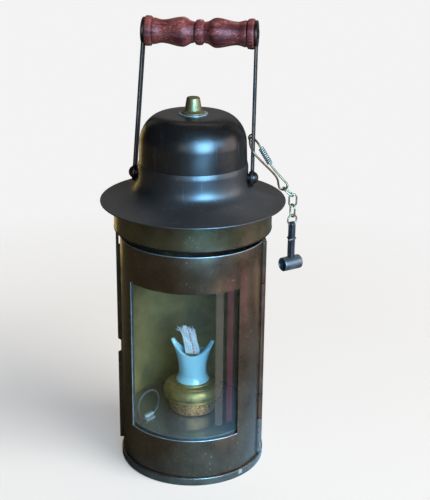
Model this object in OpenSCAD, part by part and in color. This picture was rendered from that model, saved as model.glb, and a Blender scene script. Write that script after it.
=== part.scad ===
// Hand-carried oil lamp for use on board ship. A round sheet-metal body holds an oil tank with a
// flat-wick burner. A glazed front door hangs on a pin at the right, a flared cowl and a dome cover
// the top, and a strap bail with a turned wooden grip carries the lamp. A short chain with a toggle
// hangs from the right-hand strap. The lamp stands on z = 0 and its door faces -Y.

/* [Body and door] */
// Outer radius of the body and the door
body_r = 66; // [62:0.5:67]
// Thickness of the sheet metal
sheet_t = 1; // [0.8:0.1:1.2]
// Height of the door's top edge
door_top_z = 223.5; // [216:0.5:226]
// Angle from the front to the door's free edge
door_edge_angle = 84; // [78:0.5:86]
// Angle from the front to the hinge pin
hinge_angle = 80; // [74:0.5:84]
// Radius of the hinge pin
pin_r = 1.5; // [1.2:0.1:1.8]
// Wall of the hinge knuckles round the pin
knuckle_wall = 1.45; // [1.2:0.05:1.7]
// Height of each body knuckle
knuckle_h = 26; // [16:1:30]
// Height of the lower body knuckle's bottom
low_knuckle_z = 46; // [30:1:60]
// Height of the upper body knuckle's bottom
high_knuckle_z = 157; // [120:1:180]
// Angle from the front to each side of the window
window_half_angle = 48; // [40:1:52]
// Height of the window's bottom edge
window_bottom_z = 45; // [40:0.5:60]
// Height of the window's top edge
window_top_z = 189.5; // [160:0.5:200]
// Width of the closing flange that stands out at the left
flange_w = 4.6; // [3.5:0.1:6]
// Height of the notch in the closing flange
notch_z = 101; // [80:1:130]
// Length of the notch
notch_h = 14; // [8:1:20]
// Depth of the notch
notch_d = 2.8; // [1.5:0.1:3]

/* [Base] */
// Radius of the base rim
base_r = 68; // [67.5:0.5:72]
// Height of the base rim
base_h = 7.6; // [5:0.2:10]
// Thickness of the base floor
base_floor_t = 1.2; // [0.8:0.1:2]
// Height of the spigot inside the base rim
spigot_h = 6; // [3:0.5:10]

/* [Top] */
// Outer radius of the collar under the brim
collar_r = 71; // [69.5:0.5:75]
// Height of the collar's bottom edge
collar_bottom_z = 230.2; // [228:0.2:236]
// Height of the top deck on which the collar sits
deck_z = 238; // [237:0.5:246]
// Radius of the cowl's brim
brim_r = 83; // [81:0.5:88]
// Height of the brim's edge
brim_z = 256; // [254:0.5:262]
// Height of the seam between cowl and dome
seam_z = 290.5; // [287:0.5:296]
// Sharpness of the cowl's flare
flare = 5.6; // [4:0.1:6]
// Radius of the dome at its seam
dome_r = 48; // [46:0.5:49]
// Inward taper of the dome's side up to its shoulder
dome_taper = 0.7; // [0:0.1:1.5]
// Height of the dome's side above the seam
dome_skirt_h = 17.3; // [12:0.1:22]
// Height of the dome's rounded shoulder
dome_crown_h = 25.2; // [20:0.1:30]
// Radius of the flat on top of the dome
dome_flat_r = 26.5; // [20:0.5:32]
// Squareness of the dome's shoulder
dome_shape = 1.9; // [1.7:0.1:2.6]
// Radius of the chimney tube
chimney_r = 31; // [24:0.5:36]
// Height of the chimney tube above the deck
chimney_h = 34; // [20:1:40]
// Radius of the vent holes under the brim
vent_r = 2; // [1.5:0.1:2.4]
// Radius of the finial's flange
finial_r = 10.4; // [9:0.1:13]
// Height of the finial above its washer
finial_h = 14.1; // [10:0.1:18]
// Radius of the finial's stud
stud_r = 4; // [3:0.1:5]

/* [Bail] */
// Height of the bail's pivots
bail_pivot_z = 277.7; // [275:0.1:280]
// Distance from the pivots to the grip's axis
bail_len = 125.2; // [110:0.2:140]
// Backward lean of the bail at rest
bail_lean = 16.5; // [0:0.5:30]
// Width of the bail straps
strap_w = 10; // [8:0.5:12]
// Thickness of the bail straps
strap_t = 2.5; // [2:0.1:3]
// Radius of the round eye at each strap's lower end
strap_eye_r = 8.2; // [7:0.1:8.8]
// Radius of the disc at each strap's upper end
strap_disc_r = 12; // [10:0.5:14]
// Inward lean of each strap
strap_tilt = 1.2; // [0.8:0.02:1.4]
// Radius of the pivot rivets
rivet_r = 2.4; // [2:0.1:2.8]
// Radius of the pivot rivets' heads
rivet_head_r = 5.5; // [4.6:0.1:6]
// Largest radius of the wooden grip
grip_r = 13.4; // [11.5:0.1:14]
// Radius of the rod through the grip
grip_rod_r = 3; // [2.4:0.1:3.6]

/* [Tank and burner] */
// Clearance between the oil tank's rim and the glazing strips round it
tank_gap = 1.25; // [1:0.05:4]
// Height of the tank's top face
tank_top_z = 46; // [42:0.5:50]
// Thickness of the tank's sheet
tank_t = 0.8; // [0.6:0.1:1]
// Outer radius of the tank's neck
neck_r = 16.9; // [15.5:0.1:18]
// Height of the tank's neck
neck_h = 8; // [5:0.5:10]
// Radius of the burner's skirt
skirt_r = 22.5; // [20.5:0.5:24]
// Height of the burner's skirt
skirt_h = 14; // [12:0.5:18]
// Radius of the burner's dome at its widest
bead_r = 27.8; // [25:0.2:30]
// Height of the burner's dome
burner_dome_h = 16.4; // [13:0.2:20]
// Radius of the porcelain crown's foot
crown_foot_r = 16.4; // [14.8:0.1:17]
// Radius of the porcelain crown's waist
crown_waist_r = 13.2; // [12.2:0.1:13.4]
// Height of the porcelain crown to its horn tips
crown_h = 40; // [36:0.5:46]
// Reach of the horn tips from the crown's axis
horn_reach = 20.6; // [18:0.2:22]
// Depth of the saddle between the horns
saddle_d = 12.6; // [9:0.2:15]
// Width of the wick
wick_w = 14.6; // [14:0.2:16.4]
// Thickness of the wick
wick_t = 2.8; // [2:0.1:3.2]
// Length of wick above the saddle
wick_show = 26; // [15:1:30]
// Sideways lean of the showing wick
wick_lean = 9; // [0:1:12]
// Radius of the pull ring's bow
ring_bow_r = 13.6; // [12:0.2:14]
// Half length of the pull ring's straight bar
ring_bar = 7.4; // [6.6:0.2:8]
// Radius of the pull ring's wire
ring_wire_r = 1.1; // [0.9:0.1:1.3]

/* [Chain and toggle] */
// Radius of the lanyard wire
lanyard_r = 0.85; // [0.7:0.05:0.9]
// Height of the lanyard's eye above the pivot, along the strap
lanyard_eye_h = 33; // [26:1:40]
// Radius of the chain wire
link_wire_r = 0.8; // [0.7:0.05:0.85]
// Outer width of a chain link
link_w = 8.4; // [8:0.1:9]
// Outer length of a chain link
link_l = 13.2; // [12:0.1:14.2]
// Radius of the last ring, to the middle of its wire
end_ring_r = 4.7; // [4.5:0.1:5.2]
// Length of the toggle's folded strap
toggle_strap_l = 34; // [28:1:42]
// Width of the toggle's folded strap
toggle_strap_w = 4.2; // [3.6:0.1:4.4]
// Radius of the toggle's barrel
barrel_r = 6.4; // [5.5:0.1:7]
// Length of the toggle's barrel
barrel_l = 19; // [15:0.5:22]

/* [Hidden] */
$fn = 96;
// clearances
fit = 0.05;
run_fit = 0.06;
gap = 0.4;
hook_gap = 0.3;

// body and door
door_bottom_z = base_h + 0.8;
knuckle_r = pin_r + knuckle_wall;
hinge_r = body_r + 0.5;
hinge_xy = [hinge_r * sin(hinge_angle), -hinge_r * cos(hinge_angle)];
// angle that an arc of the given length spans on the body
function span(length) = length / body_r * 180 / PI;
leaf_angle = span(pin_r + knuckle_wall / 2);
leaf_inset = 0.15;
edge_angle = span(knuckle_r + 1.6);
flange_angle = door_edge_angle + span(1.6);
flange_r = body_r + flange_w;
flange_z = base_h + 2;
flange_top_z = door_top_z - 1.5;
slit_z = flange_top_z - 12;
knuckles = [low_knuckle_z, high_knuckle_z];

// glazing
glass_t = 2;
glass_r = body_r - sheet_t - hook_gap;
glass_lap = 4;
glass_angle = window_half_angle + span(glass_lap);
glass_z0 = window_bottom_z - glass_lap;
glass_z1 = window_top_z + glass_lap;
glazing_t = 0.9;
glazing_r = body_r - sheet_t - fit;
lip_r = glass_r - glass_t - hook_gap;
lip_w = 3;
glazing_w = glazing_r - lip_r + glazing_t;

// cowl and dome
cowl_neck_r = dome_r + fit + sheet_t;
cowl_h = seam_z - brim_z;
// radius of the cowl's outer face at height z
function cowl_r(z) = cowl_neck_r + (brim_r - cowl_neck_r) * pow(1 - (z - brim_z) / cowl_h, flare);
// height of the cowl's outer face at radius r
function cowl_z(r) = brim_z + cowl_h * (1 - pow((r - cowl_neck_r) / (brim_r - cowl_neck_r), 1 / flare));
collar_top_z = cowl_z(collar_r) - 1.08 * sheet_t - fit;
vent_z = collar_top_z - vent_r - 1.6;
dome_z = seam_z + dome_skirt_h;
dome_lap = 6;
washer_r = finial_r + 2.4;
washer_t = 0.8;
shoulder_r = dome_r - dome_taper;
dome_top_z = dome_z + dome_crown_h;
finial_z = dome_top_z + washer_t;
nut_h = 4;

// bail
strap_x = cowl_r(bail_pivot_z - strap_eye_r) + gap;
boss_r = 5.5;
boss_spigot_r = 3.6;
boss_clear = 0.35;
boss_x = cowl_r(bail_pivot_z - boss_r) + 2 * fit;
boss_end_x = cowl_neck_r - sheet_t - 1.2;
rivet_head_h = 4;
grip_half = strap_x - (bail_len + strap_disc_r) * tan(strap_tilt) - fit;
disc_x = strap_x - (bail_len - strap_disc_r) * tan(strap_tilt) + strap_t;
// stations along half of the grip: distance from the middle, share of the largest radius
grip_stations = [
    [0, 0.845], [2.4, 0.82], [4.6, 0.665], [5.6, 0.71], [14.8, 0.98], [33.7, 0.765], [41.2, 0.87], [41.9, 0.84],
    [43.4, 0.98], [46.4, 1]
];

// tank and burner
tank_lip_r = lip_r - glazing_t - tank_gap;
tank_r = tank_lip_r - tank_t - fit;
burner_z = tank_top_z + 0.3;
skirt_top_z = burner_z + skirt_h;
burner_top_z = skirt_top_z + burner_dome_h;
burner_wall = 1.2;
tube_wall = 0.7;
tube_w = wick_w + 2 * gap + 2 * tube_wall;
tube_d = wick_t + 2 * gap + 2 * tube_wall;
seat_spigot_r = 11.4;
seat_spigot_h = 5;
crown_wall = 2.4;
saddle_z = burner_top_z + crown_h - saddle_d;
tube_top_z = saddle_z - 1.5;
wick_bottom_z = base_floor_t + tank_t + 4;
tube_bottom_z = tank_top_z - 12;

// pull ring
ring_angle = -52.7;
ring_turn = 20.7;
ring_edge = 12.7;
ring_r = tank_r - ring_edge;
staple_r = ring_wire_r + 1;
staple_l = 2 * ring_bar - 4;
staple_w = 8;
staple_t = 0.8;
ring_z = tank_top_z + staple_t + staple_r - fit;
bow_z = sqrt(ring_bow_r * ring_bow_r - ring_bar * ring_bar);

// catch spring
catch_r = body_r - sheet_t - gap;
catch_t = 0.8;
catch_rivet_r = 1.6;
catch_angle = flange_angle + 12;

// lanyard, chain and toggle
lanyard_turn = 0;
lanyard_eye_r = 3.9;
strap_loop_r = 2.85;
strap_loop_wire_r = 0.75;
wrap_wire_r = 0.65;
wrap_turns = 9;
wrap_pitch = 1.78;
hang = [brim_r - 1.4, 10, brim_z + 9.5];
first_tilt = 50;
link_turns = [90, 20, -50, 40];
link_c = link_l - 2 * link_wire_r;
link_bend = link_w / 2 - link_wire_r;
toggle_turn = link_turns[3];
fold_rise = end_ring_r - sqrt(end_ring_r * end_ring_r - pow(toggle_strap_w / 2, 2));
fold_r = link_wire_r + fold_rise + gap;
toggle_strap_t = 1.2;
barrel_sink = 3.5;
barrel_z = -toggle_strap_l + barrel_sink - barrel_r;
tie_z = -0.4 * toggle_strap_l;

// Points +X of the children at the given angle from the front, counted towards +X
module face(angle) {
    rotate([0, 0, angle - 90]) children();
}

// Piece of a round wall with outer radius r and thickness t, from angle a0 to a1
module arc_wall(r, t, a0, a1, z0, z1) {
    face(a0) rotate_extrude(angle = a1 - a0) translate([r - t, z0]) square([t, z1 - z0]);
}

// Closed ring with outer radius r and width w
module ring_wall(r, w, z0, z1) {
    rotate_extrude() translate([r - w, z0]) square([w, z1 - z0]);
}

// Cylinder along X from x0 to x1
module x_rod(r, x0, x1) {
    translate([x0, 0, 0]) rotate([0, 90, 0]) cylinder(r = r, h = x1 - x0);
}

// Copies the children to the other side of the lamp as well
module both_sides() {
    children();
    mirror([1, 0, 0]) children();
}

// Leans the children back with the bail; their origin is on the pivot axis
module bail_frame() {
    translate([0, 0, bail_pivot_z]) rotate([-bail_lean, 0, 0]) children();
}

// Places the children on the right-hand strap's inner face, +Z along the strap
module strap_frame() {
    translate([strap_x, 0, 0]) rotate([0, -strap_tilt, 0]) children();
}

// Base and body
module base_pan() {
    spigot_r = body_r - sheet_t - gap;
    edge = 0.9;
    color("#4a4030") difference() {
        rotate_extrude() polygon([
            [0, 0], [base_r - edge, 0], [base_r, edge], [base_r, base_h - edge], [base_r - edge, base_h],
            [spigot_r, base_h], [spigot_r, base_h + spigot_h], [spigot_r - sheet_t, base_h + spigot_h],
            [spigot_r - sheet_t, base_floor_t], [0, base_floor_t]
        ]);
        // room for the door's lowest knuckle
        translate([hinge_xy[0], hinge_xy[1], base_h]) cylinder(r = knuckle_r + gap, h = spigot_h + 1);
    }
}

// Flange outline: radius and height, with the catch notch and the slit at its top
module closing_flange() {
    slant = notch_d * 0.6;
    notch_r = flange_r - notch_d;
    slit = [body_r + 0.3, body_r + 0.45 * flange_w];
    inner_r = body_r - sheet_t / 2;
    rotate([90, 0, 0]) linear_extrude(sheet_t) polygon([
        [inner_r, flange_z], [flange_r, flange_z], [flange_r, notch_z], [notch_r, notch_z + slant],
        [notch_r, notch_z + notch_h - slant], [flange_r, notch_z + notch_h], [flange_r, flange_top_z],
        [slit[1], flange_top_z], [slit[1], slit_z], [slit[0], slit_z], [slit[0], flange_top_z],
        [inner_r, flange_top_z]
    ]);
}

module rear_shell() {
    color("#4d4230") difference() {
        union() {
            arc_wall(body_r, sheet_t, hinge_angle + edge_angle, 360 - flange_angle - span(sheet_t / 2), base_h, deck_z);
            face(-flange_angle) closing_flange();
            for (z = knuckles) {
                translate([hinge_xy[0], hinge_xy[1], z]) cylinder(r = knuckle_r, h = knuckle_h);
                arc_wall(body_r - leaf_inset, sheet_t - 2 * leaf_inset, hinge_angle + leaf_angle,
                    hinge_angle + edge_angle + 1, z + leaf_inset, z + knuckle_h - leaf_inset);
            }
        }
        translate([hinge_xy[0], hinge_xy[1], 0]) cylinder(r = pin_r + fit, h = deck_z - sheet_t);
        for (s = [-1, 1])
            face(-catch_angle) translate([0, 0, notch_z + notch_h / 2 + s * notch_h / 4])
                x_rod(catch_rivet_r + fit, catch_r - catch_t, body_r + 1);
    }
}

module hinge_pin() {
    head_h = 1.6;
    color("#6b5f45") translate([hinge_xy[0], hinge_xy[1], 0]) {
        translate([0, 0, base_h]) cylinder(r = pin_r, h = door_top_z + gap - base_h);
        translate([0, 0, door_top_z + gap]) cylinder(r = pin_r + 0.8, h = head_h);
    }
}

module catch_spring() {
    color("#8a7a4a") difference() {
        arc_wall(catch_r, catch_t, -catch_angle - 6, -door_edge_angle + 8, notch_z, notch_z + notch_h);
        for (s = [-1, 1])
            face(-catch_angle) translate([0, 0, notch_z + notch_h / 2 + s * notch_h / 4])
                x_rod(catch_rivet_r + fit, 0, body_r);
    }
}

module catch_rivets() {
    head_h = 0.8;
    color("#6b5f45")
        for (s = [-1, 1])
            face(-catch_angle) translate([0, 0, notch_z + notch_h / 2 + s * notch_h / 4]) {
                x_rod(catch_rivet_r, catch_r - catch_t - 0.5, body_r + 0.4);
                x_rod(catch_rivet_r + 0.9, body_r + 0.1, body_r + 0.1 + head_h);
                x_rod(catch_rivet_r + 0.9, catch_r - catch_t - 0.1 - head_h, catch_r - catch_t - 0.1);
            }
}

// Top of the lamp
module top_deck() {
    color("#5a4e36") difference() {
        translate([0, 0, deck_z]) cylinder(r = collar_r - sheet_t - fit, h = sheet_t);
        translate([0, 0, deck_z - 1]) cylinder(r = chimney_r + fit, h = sheet_t + 2);
    }
}

module chimney_tube() {
    lip = 4;
    below = 8;
    color("#6a6048") {
        ring_wall(chimney_r, sheet_t, deck_z - below, deck_z + chimney_h);
        ring_wall(chimney_r + lip, lip + sheet_t / 2, deck_z + sheet_t, deck_z + 2 * sheet_t);
    }
}

module collar() {
    vents = 18;
    color("#5d5436") difference() {
        ring_wall(collar_r, sheet_t, collar_bottom_z, collar_top_z);
        for (i = [0 : vents - 1])
            rotate([0, 0, i * 360 / vents]) translate([0, 0, vent_z]) x_rod(vent_r, collar_r - 5, collar_r + 5);
    }
}

module cowl() {
    steps = 20;
    // share of the flare still left to climb, close together near the brim
    share = [for (i = [0 : steps]) 1 - pow(i / steps, 1.6)];
    outer = [for (q = share) [cowl_r(seam_z - q * cowl_h), seam_z - q * cowl_h]];
    // run of the flare per unit of height, for the sheet's thickness square to the face
    run = [for (q = share) flare * (brim_r - cowl_neck_r) / cowl_h * pow(q, flare - 1)];
    inner = [for (i = [steps : -1 : 0])
        let (n = sqrt(1 + run[i] * run[i]))
        outer[i] - sheet_t / n * [1, run[i]]];
    color("#302b2a") difference() {
        rotate_extrude() polygon(concat(outer, inner));
        translate([0, 0, bail_pivot_z]) x_rod(boss_spigot_r + fit, -brim_r, brim_r);
    }
}

// Outer or inner face of the dome's shoulder, from its side at radius r up to the flat, h higher
function dome_curve(r, h) =
    let (steps = 16)
    [for (i = [0 : steps])
        let (a = 90 * i / steps)
        [dome_flat_r + (r - dome_flat_r) * pow(cos(a), 2 / dome_shape), dome_z + h * pow(sin(a), 2 / dome_shape)]];

module dome() {
    inner = dome_curve(shoulder_r - sheet_t, dome_crown_h - sheet_t);
    color("#2c2829") rotate_extrude() polygon(concat(
        [[dome_r, seam_z - dome_lap], [dome_r, seam_z]],
        dome_curve(shoulder_r, dome_crown_h),
        [[stud_r + fit, dome_top_z], [stud_r + fit, dome_top_z - sheet_t]],
        [for (i = [len(inner) - 1 : -1 : 0]) inner[i]],
        [[dome_r - sheet_t, seam_z], [dome_r - sheet_t, seam_z - dome_lap]]
    ));
}

module finial_washer() {
    color("#a9a88a") ring_wall(washer_r, washer_r - stud_r - fit, dome_top_z, finial_z);
}

module finial() {
    stud_l = sheet_t + nut_h + 2;
    top_r = 5.8;
    cone_r = 7.3;
    color("#8f8860") translate([0, 0, finial_z]) rotate_extrude() polygon([
        [0, -washer_t - stud_l], [stud_r, -washer_t - stud_l], [stud_r, 0], [finial_r, 0], [finial_r, 0.9],
        [finial_r - 1.2, 1.7], [cone_r + 0.5, 2.2], [cone_r, 2.8], [top_r, finial_h - 0.9], [top_r - 0.8, finial_h],
        [0, finial_h]
    ]);
}

module finial_nut() {
    color("#7a744f") translate([0, 0, dome_top_z - sheet_t - nut_h]) difference() {
        cylinder(r = stud_r + 3, h = nut_h, $fn = 6);
        translate([0, 0, -1]) cylinder(r = stud_r + fit, h = nut_h + 2);
    }
}

module bail_bosses() {
    color("#3a3330") both_sides() translate([0, 0, bail_pivot_z]) difference() {
        union() {
            x_rod(boss_r, boss_x, strap_x - boss_clear);
            x_rod(boss_spigot_r, boss_end_x, boss_x + 0.5);
        }
        x_rod(rivet_r + fit, boss_end_x - 1, strap_x + 1);
    }
}

// Domed head on the plane x = 0, bulging towards +X
module rivet_dome(r, h) {
    ball = (r * r + h * h) / (2 * h);
    steps = 8;
    last = asin(r / ball);
    rotate([0, 90, 0]) rotate_extrude() polygon(concat(
        [[0, 0]],
        [for (i = [steps : -1 : 0])
            let (a = last * i / steps)
            [ball * sin(a), h - ball * (1 - cos(a))]]
    ));
}

module bail_rivets() {
    face_x = strap_x + strap_t + strap_eye_r * tan(strap_tilt) + 0.1;
    inner_h = 1.4;
    color("#2f2a29") both_sides() translate([0, 0, bail_pivot_z]) {
        x_rod(rivet_r, boss_end_x - inner_h, face_x + 0.5);
        translate([face_x, 0, 0]) rivet_dome(rivet_head_r, rivet_head_h);
        x_rod(rivet_r + 1.6, boss_end_x - inner_h, boss_end_x);
    }
}

// Oil tank
module tank_drum() {
    wall_top = tank_top_z - tank_t;
    color("#6d6a58") rotate_extrude() polygon([
        [0, base_floor_t], [tank_r, base_floor_t], [tank_r, wall_top], [tank_r - tank_t, wall_top],
        [tank_r - tank_t, base_floor_t + tank_t], [0, base_floor_t + tank_t]
    ]);
}

module tank_top() {
    lip_h = 4;
    color("#7d8078") rotate_extrude() polygon([
        [neck_r - 2 + fit, tank_top_z - tank_t], [tank_r + fit, tank_top_z - tank_t],
        [tank_r + fit, tank_top_z - lip_h], [tank_lip_r, tank_top_z - lip_h], [tank_lip_r, tank_top_z - 0.5],
        [tank_lip_r - 0.5, tank_top_z], [neck_r - 2 + fit, tank_top_z]
    ]);
}

module tank_neck() {
    bore_r = tube_w / 2 + 2;
    flange = 3;
    color("#9a8a52") rotate_extrude() polygon([
        [bore_r, tank_top_z - tank_t - flange], [neck_r + 2, tank_top_z - tank_t - flange],
        [neck_r + 2, tank_top_z - tank_t], [neck_r - 2, tank_top_z - tank_t], [neck_r - 2, tank_top_z],
        [neck_r, tank_top_z], [neck_r, tank_top_z + neck_h], [bore_r, tank_top_z + neck_h]
    ]);
}

// Places the children at the pull ring, +X along its bar
module ring_frame() {
    face(ring_angle) translate([ring_r, 0, 0]) rotate([0, 0, ring_turn]) children();
}

module pull_staple() {
    color("#a08c50") ring_frame() translate([0, 0, tank_top_z]) difference() {
        union() {
            translate([-staple_l / 2, -staple_w / 2, 0]) cube([staple_l, staple_w, staple_t]);
            translate([0, 0, ring_z - tank_top_z]) x_rod(staple_r, -staple_l / 2, staple_l / 2);
        }
        translate([0, 0, ring_z - tank_top_z]) x_rod(ring_wire_r + run_fit, -staple_l, staple_l);
    }
}

module pull_ring() {
    bow_angle = 180 + 2 * asin(bow_z / ring_bow_r);
    color("#8f9296") ring_frame() translate([0, 0, ring_z]) {
        x_rod(ring_wire_r, -ring_bar, ring_bar);
        for (s = [-1, 1]) translate([s * ring_bar, 0, 0]) sphere(r = 1.08 * ring_wire_r);
        translate([0, 0, bow_z]) rotate([90, 0, 0]) rotate([0, 0, 90 - bow_angle / 2])
            rotate_extrude(angle = bow_angle) translate([ring_bow_r, 0]) circle(r = ring_wire_r);
    }
}

// Door
module door_shell() {
    color("#4a3c2c") difference() {
        union() {
            arc_wall(body_r, sheet_t, -door_edge_angle, hinge_angle - leaf_angle, door_bottom_z, door_top_z);
            translate([hinge_xy[0], hinge_xy[1], door_bottom_z - leaf_inset])
                cylinder(r = knuckle_r, h = door_top_z - door_bottom_z + 2 * leaf_inset);
        }
        arc_wall(body_r + 1, sheet_t + 2, -window_half_angle, window_half_angle, window_bottom_z, window_top_z);
        translate([hinge_xy[0], hinge_xy[1], 0]) cylinder(r = pin_r + run_fit, h = door_top_z + 2);
        for (z = knuckles)
            arc_wall(hinge_r + knuckle_r + 1, 2 * knuckle_r + 2, hinge_angle - edge_angle, hinge_angle + edge_angle,
                z - gap, z + knuckle_h + gap);
    }
}

module window_glass() {
    color("#cfe0e0", 0.35) arc_wall(glass_r, glass_t, -glass_angle, glass_angle, glass_z0, glass_z1);
}

// Strip along the bottom or top of the glass, with a lip behind it
module glazing_strip(z_edge, side) {
    z_far = z_edge - side * glazing_t;
    z_lip = z_edge + side * lip_w;
    end_angle = glass_angle + span(1.6);
    lip_angle = glass_angle - span(lip_w + 0.5);
    arc_wall(glazing_r, glazing_w, -end_angle, end_angle, min(z_edge, z_far), max(z_edge, z_far));
    z_foot = z_edge - side * glazing_t / 2;
    arc_wall(lip_r, glazing_t - 0.1, -lip_angle, lip_angle, min(z_foot, z_lip), max(z_foot, z_lip));
}

module glass_sill() {
    color("#6a5c3c") glazing_strip(glass_z0, 1);
}

module glass_head() {
    color("#6a5c3c") glazing_strip(glass_z1, -1);
}

// Upright channel beside the glass: a side wall and a lip behind the pane
module glazing_channel() {
    a_side = glass_angle + span(gap);
    a_end = a_side + span(glazing_t);
    arc_wall(glazing_r, glazing_w, a_side, a_end, glass_z0, glass_z1);
    arc_wall(lip_r, glazing_t, glass_angle - span(lip_w), a_end, glass_z0, glass_z1);
}

module glass_channel_left() {
    color("#6a5c3c") mirror([1, 0, 0]) glazing_channel();
}

module glass_channel_right() {
    color("#6a5c3c") glazing_channel();
}

// Burner
module burner_skirt() {
    round_r = 1.6;
    color("#8c5f43") rotate_extrude() polygon([
        [neck_r + run_fit, burner_z], [skirt_r - round_r, burner_z], [skirt_r - 0.4, burner_z + 0.6],
        [skirt_r, burner_z + round_r], [skirt_r, skirt_top_z], [neck_r + run_fit, skirt_top_z]
    ]);
}

module burner_dome() {
    low_h = 5.2;
    edge = 2.4;
    rim_h = 2.2;
    steps = 8;
    wall = burner_wall + 0.2;
    top_r = crown_foot_r + 1.2;
    rise = burner_dome_h - low_h - rim_h;
    under = [for (i = [0 : 4])
        let (a = 90 * i / 4)
        [bead_r - edge * (1 - sin(a)), skirt_top_z + low_h * (1 - cos(a))]];
    over = [for (i = [1 : steps])
        let (a = 90 * i / steps)
        [top_r + (bead_r - top_r) * pow(cos(a), 0.62), skirt_top_z + low_h + rise * pow(sin(a), 0.9)]];
    color("#9b8a4e") difference() {
        rotate_extrude() polygon(concat(
            [[skirt_r - 3, skirt_top_z]], under, over,
            [[top_r, burner_top_z - 0.5], [top_r - 0.5, burner_top_z], [0, burner_top_z],
                [0, burner_top_z - wall], [top_r - wall, burner_top_z - wall]],
            [for (i = [steps - 1 : -1 : 0]) [over[i][0] - wall, over[i][1] - wall]],
            [for (i = [4 : -1 : 2]) [under[i][0] - wall, max(under[i][1] - 0.6, skirt_top_z + wall)]],
            [[skirt_r - 3, skirt_top_z + wall]]
        ));
        translate([-tube_w / 2 - fit, -tube_d / 2 - fit, burner_top_z - 4])
            cube([tube_w + 2 * fit, tube_d + 2 * fit, 8]);
    }
}

module crown_seat() {
    color("#9b8a4e") difference() {
        translate([0, 0, burner_top_z]) cylinder(r = seat_spigot_r, h = seat_spigot_h);
        translate([-tube_w / 2 - fit, -tube_d / 2 - fit, burner_top_z - 1])
            cube([tube_w + 2 * fit, tube_d + 2 * fit, seat_spigot_h + 2]);
    }
}

module wick_tube() {
    color("#8f7f48") difference() {
        translate([-tube_w / 2, -tube_d / 2, tube_bottom_z]) cube([tube_w, tube_d, tube_top_z - tube_bottom_z]);
        translate([-wick_w / 2 - gap, -wick_t / 2 - gap, tube_bottom_z - 1])
            cube([wick_w + 2 * gap, wick_t + 2 * gap, tube_top_z - tube_bottom_z + 2]);
    }
}

// Radius of the crown's outer face at height h above its foot
function crown_r(h) =
    let (bell_h = 10)
    h < bell_h ? crown_waist_r + (crown_foot_r - crown_waist_r) * pow(1 - h / bell_h, 2.6)
    : crown_waist_r + (horn_reach + 0.6 - crown_waist_r) * pow((h - bell_h) / (crown_h - bell_h), 2.5);

module porcelain_crown() {
    steps = 20;
    half_top = 8.5;
    draw_h = 16;
    mouth_h = crown_h - saddle_d - 6;
    saddle_r = (horn_reach * horn_reach + saddle_d * saddle_d) / (2 * saddle_d);
    outer = [for (i = [0 : steps]) [crown_r(crown_h * i / steps), crown_h * i / steps]];
    mouth = [for (i = [0 : 8])
        let (h = mouth_h + (crown_h + 1 - mouth_h) * i / 8)
        [crown_r(min(h, crown_h)) - crown_wall, h]];
    color("#b9d3de") translate([0, 0, burner_top_z]) difference() {
        intersection() {
            rotate_extrude() polygon(concat([[0, 0]], outer, [[0, crown_h]]));
            // front and back faces draw in towards the mouth
            rotate([90, 0, 90]) linear_extrude(4 * horn_reach, center = true) polygon([
                [-crown_foot_r - 1, -1], [crown_foot_r + 1, -1], [crown_foot_r + 1, draw_h - 6], [crown_waist_r, draw_h],
                [half_top, crown_h + 1], [-half_top, crown_h + 1], [-crown_waist_r, draw_h], [-crown_foot_r - 1, draw_h - 6]
            ]);
        }
        translate([0, 0, crown_h - saddle_d + saddle_r]) rotate([90, 0, 0])
            cylinder(r = saddle_r, h = 4 * crown_foot_r, center = true);
        translate([0, 0, -1]) cylinder(r = seat_spigot_r + fit, h = seat_spigot_h + 1.5);
        translate([-tube_w / 2 - 0.2, -tube_d / 2 - 0.2, -1]) cube([tube_w + 0.4, tube_d + 0.4, crown_h]);
        intersection() {
            rotate_extrude() polygon(concat([[0, mouth_h]], mouth, [[0, crown_h + 1]]));
            translate([-2 * horn_reach, -half_top + crown_wall, 0])
                cube([4 * horn_reach, 2 * (half_top - crown_wall), crown_h + 2]);
        }
    }
}

module wick() {
    bend_z = saddle_z - 0.5;
    color("#d9d6cf") {
        translate([-wick_w / 2, -wick_t / 2, wick_bottom_z]) cube([wick_w, wick_t, bend_z - wick_bottom_z]);
        translate([0, 0, bend_z - 2]) rotate([0, -wick_lean, 0])
            translate([-wick_w / 2 + 0.5, -wick_t / 2, 0]) cube([wick_w - 1, wick_t, wick_show + 2]);
    }
}

// Bail
module strap() {
    length = bail_len / cos(strap_tilt);
    difference() {
        strap_frame() rotate([90, 0, 90]) linear_extrude(strap_t) union() {
            circle(r = strap_eye_r);
            translate([-strap_w / 2, 0]) square([strap_w, length]);
            translate([0, length]) circle(r = strap_disc_r);
        }
        x_rod(rivet_r + run_fit, strap_x - 5, strap_x + 10);
        translate([0, 0, bail_len]) x_rod(grip_rod_r + fit, grip_half - 5, strap_x + 10);
    }
}

module strap_left() {
    color("#3b2f2c") bail_frame() mirror([1, 0, 0]) strap();
}

module strap_right() {
    color("#3b2f2c") bail_frame() strap();
}

module grip_rod() {
    head_h = 0.6;
    color("#3b3432") bail_frame() translate([0, 0, bail_len]) {
        x_rod(grip_rod_r, -disc_x - head_h, disc_x + head_h);
        both_sides() x_rod(grip_rod_r + 1.2, disc_x + 0.1, disc_x + 0.05 + head_h);
    }
}

// Grip radius at distance x from the middle, eased between the stations
function grip_radius(x, i = 0) =
    i >= len(grip_stations) - 1 ? grip_r * grip_stations[len(grip_stations) - 1][1]
    : x > grip_stations[i + 1][0] ? grip_radius(x, i + 1)
    : let (a = grip_stations[i], b = grip_stations[i + 1], u = (x - a[0]) / (b[0] - a[0]))
      grip_r * (a[1] + (b[1] - a[1]) * (1 - cos(180 * u)) / 2);

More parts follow.
